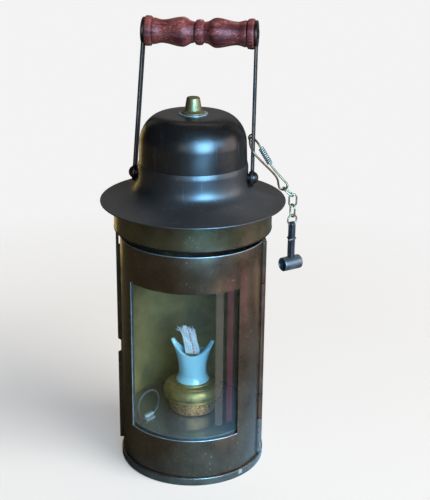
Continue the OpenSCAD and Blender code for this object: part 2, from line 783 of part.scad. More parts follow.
module wooden_grip() {
    steps = 60;
    reach = grip_stations[len(grip_stations) - 1][0];
    xs = [for (i = [-steps : steps]) reach * i / steps];
    color("#5a2a22") bail_frame() translate([0, 0, bail_len]) rotate([0, 90, 0]) difference() {
        rotate_extrude() polygon(concat(
            [[0, -grip_half], [grip_r - 0.6, -grip_half], [grip_r, -grip_half + 0.8]],
            [for (x = xs) [grip_radius(abs(x)), x]],
            [[grip_r, grip_half - 0.8], [grip_r - 0.6, grip_half], [0, grip_half]]
        ));
        translate([0, 0, -grip_half - 1]) cylinder(r = grip_rod_r + fit, h = 2 * grip_half + 2);
    }
}

// Lanyard
function unit(v) = v / norm(v);

// Place on the lamp of a point given on the right-hand strap's inner face
function on_strap(p) =
    let (x = strap_x + p[0] * cos(strap_tilt) - p[2] * sin(strap_tilt),
         z = p[0] * sin(strap_tilt) + p[2] * cos(strap_tilt))
    [x, p[1] * cos(bail_lean) + z * sin(bail_lean), bail_pivot_z - p[1] * sin(bail_lean) + z * cos(bail_lean)];

// Smooth curve through the points, with the given number of steps between each two
function smooth(p, n) =
    let (last = len(p) - 1)
    concat([for (i = [0 : last - 1], k = [0 : n - 1])
        let (u = k / n, a = p[max(i - 1, 0)], b = p[i], c = p[i + 1], d = p[min(i + 2, last)])
        b + u / 2 * (c - a + u * (2 * a - 5 * b + 4 * c - d + u * (3 * (b - c) + d - a)))], [p[last]]);

function tangents(p) = [for (i = [0 : len(p) - 1]) unit(p[min(i + 1, len(p) - 1)] - p[max(i - 1, 0)])];

// Carries a normal along the tangents without twist
function carry(n, t, i = 0) =
    i >= len(t) ? []
    : let (m = unit(n - t[i] * (n * t[i]))) concat([m], carry(m, t, i + 1));

// Round tube of the given radius along a list of points
module tube(p, r, sides) {
    t = tangents(p);
    n = carry(unit(cross(t[0], [0.31, 0.2, 0.93])), t);
    rings = len(p);
    points = [for (i = [0 : rings - 1], k = [0 : sides - 1])
        let (a = 360 * k / sides)
        p[i] + r * (cos(a) * n[i] + sin(a) * cross(t[i], n[i]))];
    walls = [for (i = [0 : rings - 2], k = [0 : sides - 1])
        let (a = i * sides + k, b = i * sides + (k + 1) % sides)
        each [[a, a + sides, b], [b, a + sides, b + sides]]];
    caps = [for (k = [1 : sides - 2])
        let (far = (rings - 1) * sides)
        each [[0, k, k + 1], [far, far + k + 1, far + k]]];
    polyhedron(points, concat(walls, caps));
}

lanyard_top = on_strap([strap_t + 2.8, strap_w / 2 + 0.6, lanyard_eye_h - 3]);
lanyard_dir = unit(hang - lanyard_top);
lanyard_side = unit(cross(lanyard_dir, [0, 1, 0]));
eye_side = -cos(lanyard_turn) * lanyard_side + sin(lanyard_turn) * unit(cross(lanyard_side, lanyard_dir));
eye_centre = hang - lanyard_eye_r * lanyard_dir;
wrap_l = wrap_turns * wrap_pitch;
wrap_start = lanyard_top + 4 * lanyard_dir;
wrap_end = wrap_start + (wrap_l + 1) * lanyard_dir;
wrap_mid = (wrap_start + wrap_end) / 2;
function eye_point(a) = eye_centre + lanyard_eye_r * (cos(a) * lanyard_dir + sin(a) * eye_side);

// Route of the wire: up from the middle of the wrap, round the strap through its eye, and back
lanyard_route = concat(
    [wrap_mid - 0.3 * lanyard_dir, wrap_start, lanyard_top],
    [on_strap([strap_t / 2 + 0.4, strap_w / 2 + 1.9, lanyard_eye_h + 1]),
     on_strap([-1.5, strap_w / 2 + 0.3, lanyard_eye_h + 2.4]),
     on_strap([-1.15, 0, lanyard_eye_h + 2]),
     on_strap([-1.4, -strap_w / 2 + 0.4, lanyard_eye_h + 0.6]),
     on_strap([strap_t / 2 - 1.4, -strap_w / 2 - 1.6, lanyard_eye_h - 6]),
     on_strap([strap_t + 2.6, -strap_w / 2 - 1.8, lanyard_eye_h - 14])],
    [eye_point(140) - 9 * lanyard_dir - 2 * eye_side - [0, 4, 0]],
    [for (a = [120 : -40 : -120]) eye_point(a)],
    [eye_point(-140) - 9 * lanyard_dir + 1.2 * eye_side, wrap_end, wrap_mid + 0.3 * lanyard_dir]
);

module lanyard_eye() {
    color("#2f2a29") bail_frame() strap_frame() translate([0, 0, lanyard_eye_h + 2]) rotate([90, 0, 0])
        rotate([0, 0, 90]) rotate_extrude(angle = 180) translate([strap_loop_r, 0]) circle(r = strap_loop_wire_r);
}

module lanyard_wire() {
    color("#b5a06a") tube(smooth(lanyard_route, 3), lanyard_r, 8);
}

// Helix of the wrapping wire round the lanyard's straight leg
wrap_rings = 24;
wrap_coil_r = lanyard_r + wrap_wire_r + 0.12;
wrap_n = unit(cross(lanyard_dir, [0, 1, 0]));
wrap_m = cross(lanyard_dir, wrap_n);
wrap_points = [for (i = [0 : wrap_turns * wrap_rings])
    let (a = 360 * i / wrap_rings)
    wrap_start + lanyard_dir * (0.5 + wrap_pitch * i / wrap_rings)
        + wrap_coil_r * (cos(a) * wrap_n + sin(a) * wrap_m)];
wrap_gap = min([for (i = [0 : len(wrap_points) - 1 - wrap_rings / 2])
    for (k = [i + wrap_rings / 2 : min(i + 2 * wrap_rings, len(wrap_points) - 1)])
        norm(wrap_points[k] - wrap_points[i])]) - 2 * wrap_wire_r;
echo(least_gap_between_wrap_turns = wrap_gap);

module wire_wrap() {
    color("#a7a79a") tube(wrap_points, wrap_wire_r, 6);
}

// Chain and toggle
function link_dir(i) = i == 0 ? [sin(first_tilt), 0, -cos(first_tilt)] : [0, 0, -1];
function link_length(i) = i < 3 ? link_c : 2 * end_ring_r;
function hook_step(i) = i == 0 ? lanyard_r + link_wire_r + 2 * hook_gap : 2 * link_wire_r + hook_gap;
// Middle of the wire on which link i hangs
function hook(i) = i == 0 ? hang : hook(i - 1) + (link_length(i - 1) - hook_step(i - 1)) * link_dir(i - 1);

// Link in the XZ plane that hangs from its top; bend is its end radius, length its middle line
module link_shape(bend, length) {
    straight = length - 2 * bend;
    translate([0, 0, -bend]) rotate([90, 0, 0])
        rotate_extrude(angle = 180) translate([bend, 0]) circle(r = link_wire_r);
    translate([0, 0, -bend - straight]) rotate([90, 0, 0]) rotate([0, 0, 180])
        rotate_extrude(angle = 180) translate([bend, 0]) circle(r = link_wire_r);
    if (straight > 0)
        for (s = [-1, 1])
            translate([s * bend, 0, -bend - straight]) cylinder(r = link_wire_r, h = straight);
}

module hung_link(i) {
    tilt = i == 0 ? first_tilt : 0;
    translate(hook(i) - hook_step(i) * link_dir(i)) rotate([0, -tilt, 0]) rotate([0, 0, link_turns[i]])
        link_shape(i < 3 ? link_bend : end_ring_r, link_length(i));
}

module chain_link_1() {
    color("#b3a878") hung_link(0);
}

module chain_link_2() {
    color("#b3a878") hung_link(1);
}

module chain_link_3() {
    color("#b3a878") hung_link(2);
}

module chain_ring() {
    color("#b3a878") hung_link(3);
}

module toggle_frame() {
    translate(hook(4)) rotate([0, 0, toggle_turn]) children();
}

// The two legs of the folded strap, grown by clear
module strap_legs(clear) {
    for (s = [-1, 1])
        translate([-toggle_strap_w / 2 - clear, s * (fold_r + toggle_strap_t / 2) - toggle_strap_t / 2 - clear,
            -toggle_strap_l - clear])
            cube([toggle_strap_w + 2 * clear, toggle_strap_t + 2 * clear, toggle_strap_l + clear]);
}

module toggle_strap() {
    color("#1c1b1c") toggle_frame() {
        strap_legs(0);
        translate([-toggle_strap_w / 2, 0, 0]) rotate([0, 90, 0]) rotate([0, 0, 90])
            rotate_extrude(angle = 180) translate([fold_r, 0]) square([toggle_strap_t, toggle_strap_w]);
    }
}

module toggle_tie() {
    band = 1;
    inner = [toggle_strap_w + 2 * fit, 2 * (fold_r + toggle_strap_t + fit)];
    color("#6f7276") toggle_frame() translate([0, 0, tie_z]) linear_extrude(1.6) difference() {
        square(inner + 2 * [band, band], center = true);
        square(inner, center = true);
    }
}

module toggle_barrel() {
    recess_r = barrel_r - 1.5;
    recess_d = 4.5;
    color("#5d6064") toggle_frame() translate([0, 0, barrel_z]) difference() {
        x_rod(barrel_r, -barrel_l / 2, barrel_l / 2);
        x_rod(recess_r, -barrel_l / 2 - 1, -barrel_l / 2 + recess_d);
        translate([0, 0, -barrel_z]) strap_legs(fit);
    }
}

base_pan();
rear_shell();
hinge_pin();
catch_spring();
catch_rivets();
top_deck();
chimney_tube();
collar();
cowl();
dome();
finial_washer();
finial();
finial_nut();
bail_bosses();
bail_rivets();
tank_drum();
tank_top();
tank_neck();
pull_staple();
pull_ring();
door_shell();
window_glass();
glass_sill();
glass_head();
glass_channel_left();
glass_channel_right();
burner_skirt();
burner_dome();
crown_seat();
wick_tube();
porcelain_crown();
wick();
strap_left();
strap_right();
grip_rod();
wooden_grip();
lanyard_eye();
lanyard_wire();
wire_wrap();
chain_link_1();
chain_link_2();
chain_link_3();
chain_ring();
toggle_strap();
toggle_tie();
toggle_barrel();
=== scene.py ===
"""Looks of a hand-carried ship lamp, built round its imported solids."""

import logging
import math
import random
from dataclasses import dataclass
from enum import Enum
from typing import Callable, Iterable, Optional, Sequence

import bmesh
import bpy
from mathutils import Matrix, Vector


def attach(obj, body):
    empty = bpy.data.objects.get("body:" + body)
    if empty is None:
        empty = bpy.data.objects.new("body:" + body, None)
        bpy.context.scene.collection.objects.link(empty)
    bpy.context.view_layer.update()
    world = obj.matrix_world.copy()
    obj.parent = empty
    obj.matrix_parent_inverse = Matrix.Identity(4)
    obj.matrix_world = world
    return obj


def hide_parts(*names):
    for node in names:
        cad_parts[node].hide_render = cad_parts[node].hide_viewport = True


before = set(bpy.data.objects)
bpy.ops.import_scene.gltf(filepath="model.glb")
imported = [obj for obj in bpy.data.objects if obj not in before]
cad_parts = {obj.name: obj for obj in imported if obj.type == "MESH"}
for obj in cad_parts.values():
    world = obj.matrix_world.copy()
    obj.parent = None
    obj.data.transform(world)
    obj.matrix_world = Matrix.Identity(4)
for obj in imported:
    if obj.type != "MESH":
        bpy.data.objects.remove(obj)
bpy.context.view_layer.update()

MM = 0.001
LOG = logging.getLogger("ship_lamp")
Colour = tuple[float, float, float]
Point = tuple[float, float, float]
Outline = list[tuple[float, float]]
Material = bpy.types.Material
Piece = bpy.types.Object
Socket = bpy.types.NodeSocket

# Places that more than one sub-assembly or finish needs, in millimetres
HINGE_LINE = (65.49, -11.55)
KNUCKLE_Z = (46.0, 157.0)
KNUCKLE_H = 26.0
LANYARD_HANG: Point = (81.6, 10.0, 265.5)

# Angle in degrees above which a plate's edge is rounded
RIM_ANGLE = 60.0

# Turns a plate's own plane upright, with its thickness along X
UPRIGHT = Matrix(((0, 0, 1, 0), (1, 0, 0, 0), (0, 1, 0, 0), (0, 0, 0, 1)))


class Body(str, Enum):
    """Moving bodies of the lamp."""

    ROOT = "root"
    DOOR = "door"
    BAIL = "bail"
    CHAIN = "chain"
    TOGGLE = "toggle"
    BURNER = "burner"
    WICK = "wick"
    RING = "ring"


# Mesh tools


def mm(x: float, y: float, z: float) -> Vector:
    """Gives a point written in millimetres."""
    return Vector((x, y, z)) * MM


def smoothstep(u: float) -> float:
    """Gives an eased value between 0 and 1."""
    u = min(max(u, 0.0), 1.0)
    return u * u * (3 - 2 * u)


def in_scene(name: str, data: bpy.types.ID) -> Piece:
    """Makes an object and puts it in the scene.

    Args:
        name: name of the object.
        data: its mesh, curve, light or camera.

    Returns:
        The new object at the origin.
    """
    obj = bpy.data.objects.new(name, data)
    bpy.context.scene.collection.objects.link(obj)
    return obj


def finish_mesh(name: str, bm: bmesh.types.BMesh, sharp: float = 40.0) -> Piece:
    """Makes an object from a bmesh, smooth where its faces meet at less than an angle.

    Args:
        name: name of the piece.
        bm: mesh in metres, which is freed.
        sharp: angle in degrees above which an edge stays sharp.

    Returns:
        The new object at the origin.
    """
    mesh = bpy.data.meshes.new(name)
    bm.to_mesh(mesh)
    bm.free()
    mesh.shade_smooth()
    mesh.set_sharp_from_angle(angle=math.radians(sharp))
    return in_scene(name, mesh)


def rounded(corners: Sequence[tuple[float, float, float]], steps: int = 5) -> Outline:
    """Rounds the corners of an open outline.

    Args:
        corners: points as radius, height and corner radius, in millimetres.
        steps: segments in each round.

    Returns:
        The outline's points as radius and height.
    """
    out: Outline = []
    for i, (r, z, round_r) in enumerate(corners):
        here = Vector((r, z))
        if round_r <= 0 or i in (0, len(corners) - 1):
            out.append((r, z))
            continue
        back = Vector(corners[i - 1][:2]) - here
        ahead = Vector(corners[i + 1][:2]) - here
        reach = min(round_r, 0.48 * back.length, 0.48 * ahead.length)
        a = here + back.normalized() * reach
        b = here + ahead.normalized() * reach
        for k in range(steps + 1):
            u = k / steps
            p = a * (1 - u) ** 2 + here * (2 * u * (1 - u)) + b * u * u
            out.append((p.x, p.y))
    return out


def turned(
    name: str,
    outline: Sequence[tuple[float, float]],
    place: Optional[Matrix] = None,
    steps: int = 128,
    sharp: float = 40.0,
    closed: bool = True,
    shape: Optional[Callable[[Vector], None]] = None,
) -> Piece:
    """Spins an outline round the Z axis.

    Args:
        name: name of the piece.
        outline: radius and height of each point, in millimetres.
        place: where the turned piece goes; its own axis is +Z.
        steps: segments round the axis.
        sharp: angle in degrees above which an edge stays sharp.
        closed: whether the outline's last point joins its first.
        shape: moves each vertex after the spin, in millimetres.

    Returns:
        The new object.
    """
    bm = bmesh.new()
    verts = [bm.verts.new((r * MM, 0, z * MM)) for r, z in outline]
    edges = [bm.edges.new(pair) for pair in zip(verts, verts[1:])]
    if closed:
        edges.append(bm.edges.new((verts[-1], verts[0])))
    bmesh.ops.spin(
        bm, geom=verts + edges, cent=(0, 0, 0), axis=(0, 0, 1), dvec=(0, 0, 0), angle=2 * math.pi, steps=steps,
        use_merge=True, use_normal_flip=False, use_duplicate=False,
    )
    bmesh.ops.remove_doubles(bm, verts=bm.verts, dist=1e-6)
    bmesh.ops.recalc_face_normals(bm, faces=bm.faces)
    if shape is not None:
        for v in bm.verts:
            p = v.co / MM
            shape(p)
            v.co = p * MM
    if place is not None:
        bmesh.ops.transform(bm, matrix=place, verts=bm.verts)
    return finish_mesh(name, bm, sharp)


def curve_through(points: Sequence[Vector], steps: int = 8, cyclic: bool = False) -> list[Vector]:
    """Gives a smooth curve through the points.

    Args:
        points: points to pass through.
        steps: steps between each two points.
        cyclic: whether the last point joins the first.

    Returns:
        Points along the curve.
    """
    n = len(points)
    spans = n if cyclic else n - 1
    out: list[Vector] = []
    for i in range(spans):
        pick = (lambda k: points[k % n]) if cyclic else (lambda k: points[min(max(k, 0), n - 1)])
        a, b, c, d = pick(i - 1), pick(i), pick(i + 1), pick(i + 2)
        for k in range(steps):
            u = k / steps
            out.append(b + (c - a + (2 * a - 5 * b + 4 * c - d + (3 * (b - c) + d - a) * u) * u) * (u / 2))
    if not cyclic:
        out.append(points[-1].copy())
    return out


def wire(
    name: str, paths: Iterable[Sequence[Vector]], radius: float, cyclic: bool = False, sides: int = 3
) -> Piece:
    """Sweeps a round wire along one or more paths.

    Args:
        name: name of the piece.
        paths: points in metres.
        radius: wire radius in millimetres.
        cyclic: whether each path is a closed loop.
        sides: bevel resolution of the wire's section.

    Returns:
        The new mesh object.
    """
    curve = bpy.data.curves.new(name + "_line", "CURVE")
    curve.dimensions = "3D"
    curve.bevel_depth = radius * MM
    curve.bevel_resolution = sides
    curve.use_fill_caps = not cyclic
    for path in paths:
        spline = curve.splines.new("POLY")
        spline.points.add(len(path) - 1)
        for point, co in zip(spline.points, path):
            point.co = (co.x, co.y, co.z, 1)
        spline.use_cyclic_u = cyclic
    line = in_scene(name + "_line", curve)
    bpy.context.view_layer.update()
    mesh = bpy.data.meshes.new_from_object(line.evaluated_get(bpy.context.evaluated_depsgraph_get()))
    bpy.data.objects.remove(line)
    bpy.data.curves.remove(curve)
    bm = bmesh.new()
    bm.from_mesh(mesh)
    bpy.data.meshes.remove(mesh)
    bmesh.ops.remove_doubles(bm, verts=bm.verts, dist=1e-7)
    bmesh.ops.recalc_face_normals(bm, faces=bm.faces)
    return finish_mesh(name, bm, 60)


def thicken(bm: bmesh.types.BMesh, faces: list[bmesh.types.BMFace], thickness: float, bevel: float) -> None:
    """Lifts a flat sheet to its thickness along +Z and rounds its edges.

    Args:
        bm: mesh in metres that holds the sheet alone.
        faces: faces of the sheet.
        thickness: sheet thickness in millimetres.
        bevel: width of the rounded edges, in millimetres.
    """
    grown = bmesh.ops.extrude_face_region(bm, geom=faces)
    lifted = [v for v in grown["geom"] if isinstance(v, bmesh.types.BMVert)]
    bmesh.ops.translate(bm, vec=(0, 0, thickness * MM), verts=lifted)
    bmesh.ops.recalc_face_normals(bm, faces=bm.faces)
    rims = [e for e in bm.edges if e.calc_face_angle(0) > math.radians(RIM_ANGLE)]
    bmesh.ops.bevel(
        bm, geom=rims, offset=bevel * MM, affect="EDGES", segments=3, profile=0.5, material=-1, clamp_overlap=True
    )


def plate(
    name: str, outline: Sequence[tuple[float, float]], thickness: float, place: Matrix, bevel: float
) -> Piece:
    """Cuts a flat plate and rounds its edges.

    Args:
        name: name of the piece.
        outline: points in the plate's own XY plane, in millimetres, anticlockwise.
        thickness: plate thickness along +Z, in millimetres.
        place: where the plate goes.
        bevel: width of the rounded edges, in millimetres.

    Returns:
        The new object.
    """
    bm = bmesh.new()
    face = bm.faces.new([bm.verts.new((x * MM, y * MM, 0)) for x, y in outline])
    thicken(bm, [face], thickness, bevel)
    bmesh.ops.transform(bm, matrix=place, verts=bm.verts)
    return finish_mesh(name, bm, 35)


def curved_sheet(
    name: str,
    r: float,
    thickness: float,
    spread: tuple[float, float],
    heights: tuple[float, float],
    cuts: Sequence[tuple[float, float, float, float]],
    bevel: float,
) -> Piece:
    """Rolls a sheet round the Z axis, cuts rectangles out of it and rounds its edges.

    Args:
        name: name of the piece.
        r: outer radius in millimetres.
        thickness: sheet thickness in millimetres.
        spread: first and last angle from the front, in degrees.
        heights: lower and upper edge in millimetres.
        cuts: first and last angle, lower and upper edge of each cut.
        bevel: width of the rounded edges, in millimetres.

    Returns:
        The new object.
    """
    bm = bmesh.new()
    bmesh.ops.create_grid(bm, x_segments=72, y_segments=1, size=0.5)
    arc = r * math.radians(1)
    for v in bm.verts:
        a = spread[0] + (spread[1] - spread[0]) * (v.co.x + 0.5)
        v.co = mm(a * arc, heights[0] + (heights[1] - heights[0]) * (v.co.y + 0.5), 0)
    lines = {(a * arc, 0) for c in cuts for a in c[:2]} | {(z, 1) for c in cuts for z in c[2:]}
    for at, axis in sorted(lines):
        at_point, normal = Vector((0, 0, 0)), Vector((0, 0, 0))
        at_point[axis], normal[axis] = at * MM, 1
        geom = [*bm.verts, *bm.edges, *bm.faces]
        bmesh.ops.bisect_plane(bm, geom=geom, dist=1e-7, plane_co=at_point, plane_no=normal)
    gone = []
    for face in bm.faces:
        mid = face.calc_center_median() / MM
        if any(a0 * arc < mid.x < a1 * arc and z0 < mid.y < z1 for a0, a1, z0, z1 in cuts):
            gone.append(face)
    bmesh.ops.delete(bm, geom=gone, context="FACES")
    thicken(bm, list(bm.faces), thickness, bevel)
    for v in bm.verts:
        turn, reach = v.co.x / (r * MM), (r - thickness) * MM + v.co.z
        v.co = Vector((reach * math.sin(turn), -reach * math.cos(turn), v.co.y))
    return finish_mesh(name, bm, 30)


# Shader tools


class Shader:
    """A material's node tree with short calls for nodes and links."""

    def __init__(self, tree: bpy.types.NodeTree) -> None:
        """Keeps the tree that the calls add to."""
        self.tree = tree

    def feed(self, node: bpy.types.Node, inputs: dict) -> None:
        """Links or sets inputs of a node.

        Args:
            node: node that takes them.
            inputs: values or sockets, by the input's name or index.
        """
        for key, value in inputs.items():
            if isinstance(value, Socket):
                self.tree.links.new(value, node.inputs[key])
            else:
                node.inputs[key].default_value = value

    def node(self, kind: str, inputs: Optional[dict] = None, **settings: object) -> bpy.types.Node:
        """Adds a node.

        Args:
            kind: node type.
            inputs: values or sockets for its inputs, by name or index.
            settings: attributes of the node.

        Returns:
            The new node.
        """
        node = self.tree.nodes.new(kind)
        for key, value in settings.items():
            setattr(node, key, value)
        self.feed(node, inputs or {})
        return node

    def math(self, operation: str, a: object, b: object = 0.0, clamp: bool = True) -> Socket:
        """Adds a Math node and gives its output."""
        return self.node("ShaderNodeMath", {0: a, 1: b}, operation=operation, use_clamp=clamp).outputs[0]

    def band(self, value: object, low: float, high: float, to: tuple[float, float] = (0, 1)) -> Socket:
        """Maps a value's range to another and gives the output."""
        node = self.node("ShaderNodeMapRange", {0: value, 1: low, 2: high, 3: to[0], 4: to[1]})
        return node.outputs[0]

    def mix(self, factor: object, a: object, b: object) -> Socket:
        """Mixes two colours and gives the output."""
        a, b = ((*c, 1) if isinstance(c, tuple) else c for c in (a, b))
        return self.node("ShaderNodeMix", {0: factor, 6: a, 7: b}, data_type="RGBA").outputs[2]

    def blend(self, factor: object, a: object, b: object) -> Socket:
        """Mixes two values and gives the output."""
        return self.node("ShaderNodeMix", {0: factor, 2: a, 3: b}, data_type="FLOAT").outputs[0]

    def noise(self, vector: object, scale: object, detail: float = 4.0, rough: float = 0.55) -> Socket:
        """Adds a noise texture and gives its value."""
        node = self.node("ShaderNodeTexNoise", {"Vector": vector, "Scale": scale, "Detail": detail, "Roughness": rough})
        return node.outputs[0]

    def stretched(self, vector: object, scale: Point, turn: Point = (0, 0, 0)) -> Socket:
        """Scales and turns coordinates and gives them."""
        node = self.node("ShaderNodeMapping", {"Vector": vector, "Scale": scale, "Rotation": turn})
        return node.outputs[0]

    def axis(self, vector: Socket, name: str) -> Socket:
        """Gives one coordinate of a vector."""
        return self.node("ShaderNodeSeparateXYZ", {0: vector}).outputs[name]

    def bump(self, strength: float, distance: float, height: Socket) -> Socket:
        """Gives the normals of a surface with a height."""
        return self.node("ShaderNodeBump", {"Strength": strength, "Distance": distance, "Height": height}).outputs[0]

    def show(self, factor: Socket, a: bpy.types.Node, b: bpy.types.Node) -> None:
        """Puts a mix of two shaders out to the surface.

        Args:
            factor: share of the second shader.
            a: first shader.
            b: second shader.
        """
        both = self.node("ShaderNodeMixShader", {0: factor, 1: a.outputs[0], 2: b.outputs[0]})
        sink = next(n for n in self.tree.nodes if n.type in ("OUTPUT_MATERIAL", "OUTPUT_WORLD"))
        self.tree.links.new(both.outputs[0], sink.inputs["Surface"])


def group(name: str, inputs: dict[str, float], outputs: Sequence[str]) -> tuple[bpy.types.NodeTree, Shader, dict, dict]:
    """Starts a shader node group with float inputs and outputs and a vector input.

    Args:
        name: name of the group.
        inputs: input names with their default values.
        outputs: output names.

    Returns:
        The tree, its shader calls, its input sockets by name and its output sockets by name.
    """
    tree = bpy.data.node_groups.new(name, "ShaderNodeTree")
    tree.interface.new_socket("Vector", in_out="INPUT", socket_type="NodeSocketVector")
    for key, value in inputs.items():
        socket = tree.interface.new_socket(key, in_out="INPUT", socket_type="NodeSocketFloat")
        socket.default_value = value
    for key in outputs:
        tree.interface.new_socket(key, in_out="OUTPUT", socket_type="NodeSocketFloat")
    source = tree.nodes.new("NodeGroupInput")
    sink = tree.nodes.new("NodeGroupOutput")
    return tree, Shader(tree), {s.name: s for s in source.outputs}, {s.name: s for s in sink.inputs}


def build_patina() -> bpy.types.NodeTree:
    """Builds the tarnish that the metals share: broad mottle, small specks, fine scratches and their height.

    Returns:
        The node group.
    """
    tree, sh, given, out = group(
        "patina", {"Scale": 60.0, "Speck": 0.5, "Scratch": 0.5}, ("Mottle", "Specks", "Scratches", "Height")
    )
    broad = sh.noise(given["Vector"], given["Scale"], 5.0, 0.6)
    mottle = sh.band(broad, 0.36, 0.66)
    fine_scale = sh.math("MULTIPLY", given["Scale"], 14.0, clamp=False)
    grains = sh.noise(given["Vector"], fine_scale, 3.0, 0.6)
    limit = sh.math("SUBTRACT", 0.78, given["Speck"], clamp=False)
    over = sh.math("SUBTRACT", grains, limit, clamp=False)
    patches = sh.band(sh.noise(given["Vector"], given["Scale"], 2.0), 0.45, 0.6)
    specks = sh.math("MULTIPLY", sh.band(over, 0.0, 0.08), patches)
    lines = sh.noise(sh.stretched(given["Vector"], (900, 120, 30), (0.3, 0.5, 0.2)), 1.0, 2.0, 0.4)
    lines_b = sh.noise(sh.stretched(given["Vector"], (60, 900, 110), (0.1, 0.2, 0.9)), 1.0, 2.0, 0.4)
    marks = sh.math("ADD", sh.band(lines, 0.68, 0.76), sh.band(lines_b, 0.69, 0.77))
    scratches = sh.math("MULTIPLY", marks, given["Scratch"])
    height = sh.math("ADD", sh.math("MULTIPLY", grains, 0.5), sh.math("MULTIPLY", broad, 0.3))
    for key, socket in (("Mottle", mottle), ("Specks", specks), ("Scratches", scratches), ("Height", height)):
        tree.links.new(socket, out[key])
    return tree


PATINA = build_patina()


def new_material(name: str) -> tuple[Material, Shader, bpy.types.Node, Socket]:
    """Starts a material with a Principled shader.

    Args:
        name: name of the material.

    Returns:
        The material, its shader calls, its Principled node and its object coordinates.
    """
    material = bpy.data.materials.new(name)
    material.use_nodes = True
    sh = Shader(material.node_tree)
    principled = next(n for n in material.node_tree.nodes if n.type == "BSDF_PRINCIPLED")
    coords = sh.node("ShaderNodeTexCoord").outputs["Object"]
    return material, sh, principled, coords


@dataclass(frozen=True)
class Zone:
    """A part of a piece with its own look: a length of a tube round an upright line."""

    centre: tuple[float, float]
    reach: tuple[float, float]
    heights: tuple[float, float]
    colours: tuple[Colour, Colour]
    rough: float
    metallic: float
    edge: float = 0.1
    ragged: bool = False
    fade: float = 0.0

    def mask(self, sh: Shader, coords: Socket) -> Socket:
        """Marks the zone.

        Args:
            sh: shader calls of the material.
            coords: object coordinates.

        Returns:
            1 inside the zone and 0 outside it.
        """
        flat = sh.node("ShaderNodeVectorMath", {0: coords, 1: (1, 1, 0)}, operation="MULTIPLY").outputs[0]
        line = (self.centre[0] * MM, self.centre[1] * MM, 0)
        far = sh.node("ShaderNodeVectorMath", {0: flat, 1: line}, operation="DISTANCE").outputs["Value"]
        z = sh.axis(coords, "Z")
        mask: object = 1.0
        for value, (low, high), fade in ((far, self.reach, 0.0), (z, self.heights, self.fade)):
            e, f = self.edge * MM, (self.edge + fade) * MM
            mask = sh.math("MULTIPLY", mask, sh.band(value, low * MM - e, low * MM + e))
            mask = sh.math("MULTIPLY", mask, sh.band(value, high * MM - f, high * MM + f, (1, 0)))
        if self.ragged:
            mask = sh.band(sh.math("MULTIPLY", mask, sh.noise(coords, 420.0, 5.0, 0.7)), 0.38, 0.52)
        return mask


@dataclass(frozen=True)
class MetalFinish:
    """Tarnished metal: base colour with mottle, specks and scratches."""

    name: str
    base: Colour
    mottle: Colour
    speck: Colour
    metallic: float = 0.9
    rough: tuple[float, float] = (0.3, 0.5)
    scale: float = 60.0
    speck_amount: float = 0.14
    scratch: float = 0.3
    bump: float = 0.06
    zones: tuple[Zone, ...] = ()

    def build(self) -> Material:
        """Makes the material.

        Returns:
            The material.
        """
        material, sh, principled, coords = new_material(self.name)
        inputs = {"Vector": coords, "Scale": self.scale, "Speck": self.speck_amount, "Scratch": self.scratch}
        patina = sh.node("ShaderNodeGroup", inputs, node_tree=PATINA).outputs
        colour = sh.mix(patina["Mottle"], self.base, self.mottle)
        colour = sh.mix(patina["Specks"], colour, self.speck)
        bright = tuple(min(1.0, 0.5 * c + 0.25) for c in self.speck)
        colour = sh.mix(sh.math("MULTIPLY", patina["Scratches"], 0.35), colour, bright)
        rough = sh.band(patina["Mottle"], 0, 1, self.rough)
        metal: object = self.metallic
        for zone in self.zones:
            mask = zone.mask(sh, coords)
            colour = sh.mix(mask, colour, sh.mix(patina["Mottle"], *zone.colours))
            rough = sh.blend(mask, rough, zone.rough)
            metal = sh.blend(mask, metal, zone.metallic)
        sh.feed(principled, {
            "Base Color": colour, "Roughness": rough, "Metallic": metal,
            "Normal": sh.bump(self.bump, 0.0006, patina["Height"]),
        })
        return material


@dataclass(frozen=True)
class WoodFinish:
    """Turned mahogany with open pores along the grip."""

    name: str
    dark: Colour
    red: Colour
    pore: Colour

    def build(self) -> Material:
        """Makes the material.

        Returns:
            The material.
        """
        material, sh, principled, coords = new_material(self.name)
        bands = sh.noise(sh.stretched(coords, (14, 190, 190)), 1.0, 6.0, 0.6)
        colour = sh.mix(sh.band(bands, 0.36, 0.66), self.dark, self.red)
        flecks = sh.noise(sh.stretched(coords, (190, 2300, 2300)), 1.0, 3.0, 0.6)
        pores = sh.math("MULTIPLY", sh.band(flecks, 0.57, 0.64), sh.band(bands, 0.4, 0.55))
        sh.feed(principled, {
            "Base Color": sh.mix(sh.math("MULTIPLY", pores, 0.6), colour, self.pore),
            "Roughness": sh.band(bands, 0.3, 0.7, (0.6, 0.42)),
            "Specular IOR Level": 0.2,
            "Normal": sh.bump(0.25, 0.0004, flecks),
        })
        return material


@dataclass(frozen=True)
class GlazeFinish:
    """Glazed porcelain with a little soot at the mouth."""

    name: str
    base: Colour
    shade: Colour
    soot: Colour
    mouth_z: tuple[float, float]

    def build(self) -> Material:
        """Makes the material.

        Returns:
            The material.
        """
        material, sh, principled, coords = new_material(self.name)
        cloud = sh.noise(coords, 55.0, 4.0, 0.5)
        colour = sh.mix(sh.band(cloud, 0.35, 0.7), self.base, self.shade)
        high = sh.band(sh.axis(coords, "Z"), self.mouth_z[0] * MM, self.mouth_z[1] * MM)
        smoke = sh.math("MULTIPLY", high, sh.band(sh.noise(coords, 160.0, 5.0, 0.7), 0.5, 0.72))
        colour = sh.mix(sh.math("MULTIPLY", smoke, 0.45), colour, self.soot)
        dust = sh.band(sh.noise(coords, 1400.0, 2.0, 0.5), 0.72, 0.78)
        sh.feed(principled, {
            "Base Color": sh.mix(sh.math("MULTIPLY", dust, 0.3), colour, self.soot),
            "Roughness": sh.band(cloud, 0.3, 0.7, (0.07, 0.15)),
            "Coat Weight": 0.5,
            "Coat Roughness": 0.05,
            "Normal": sh.bump(0.05, 0.0006, cloud),
        })
        return material


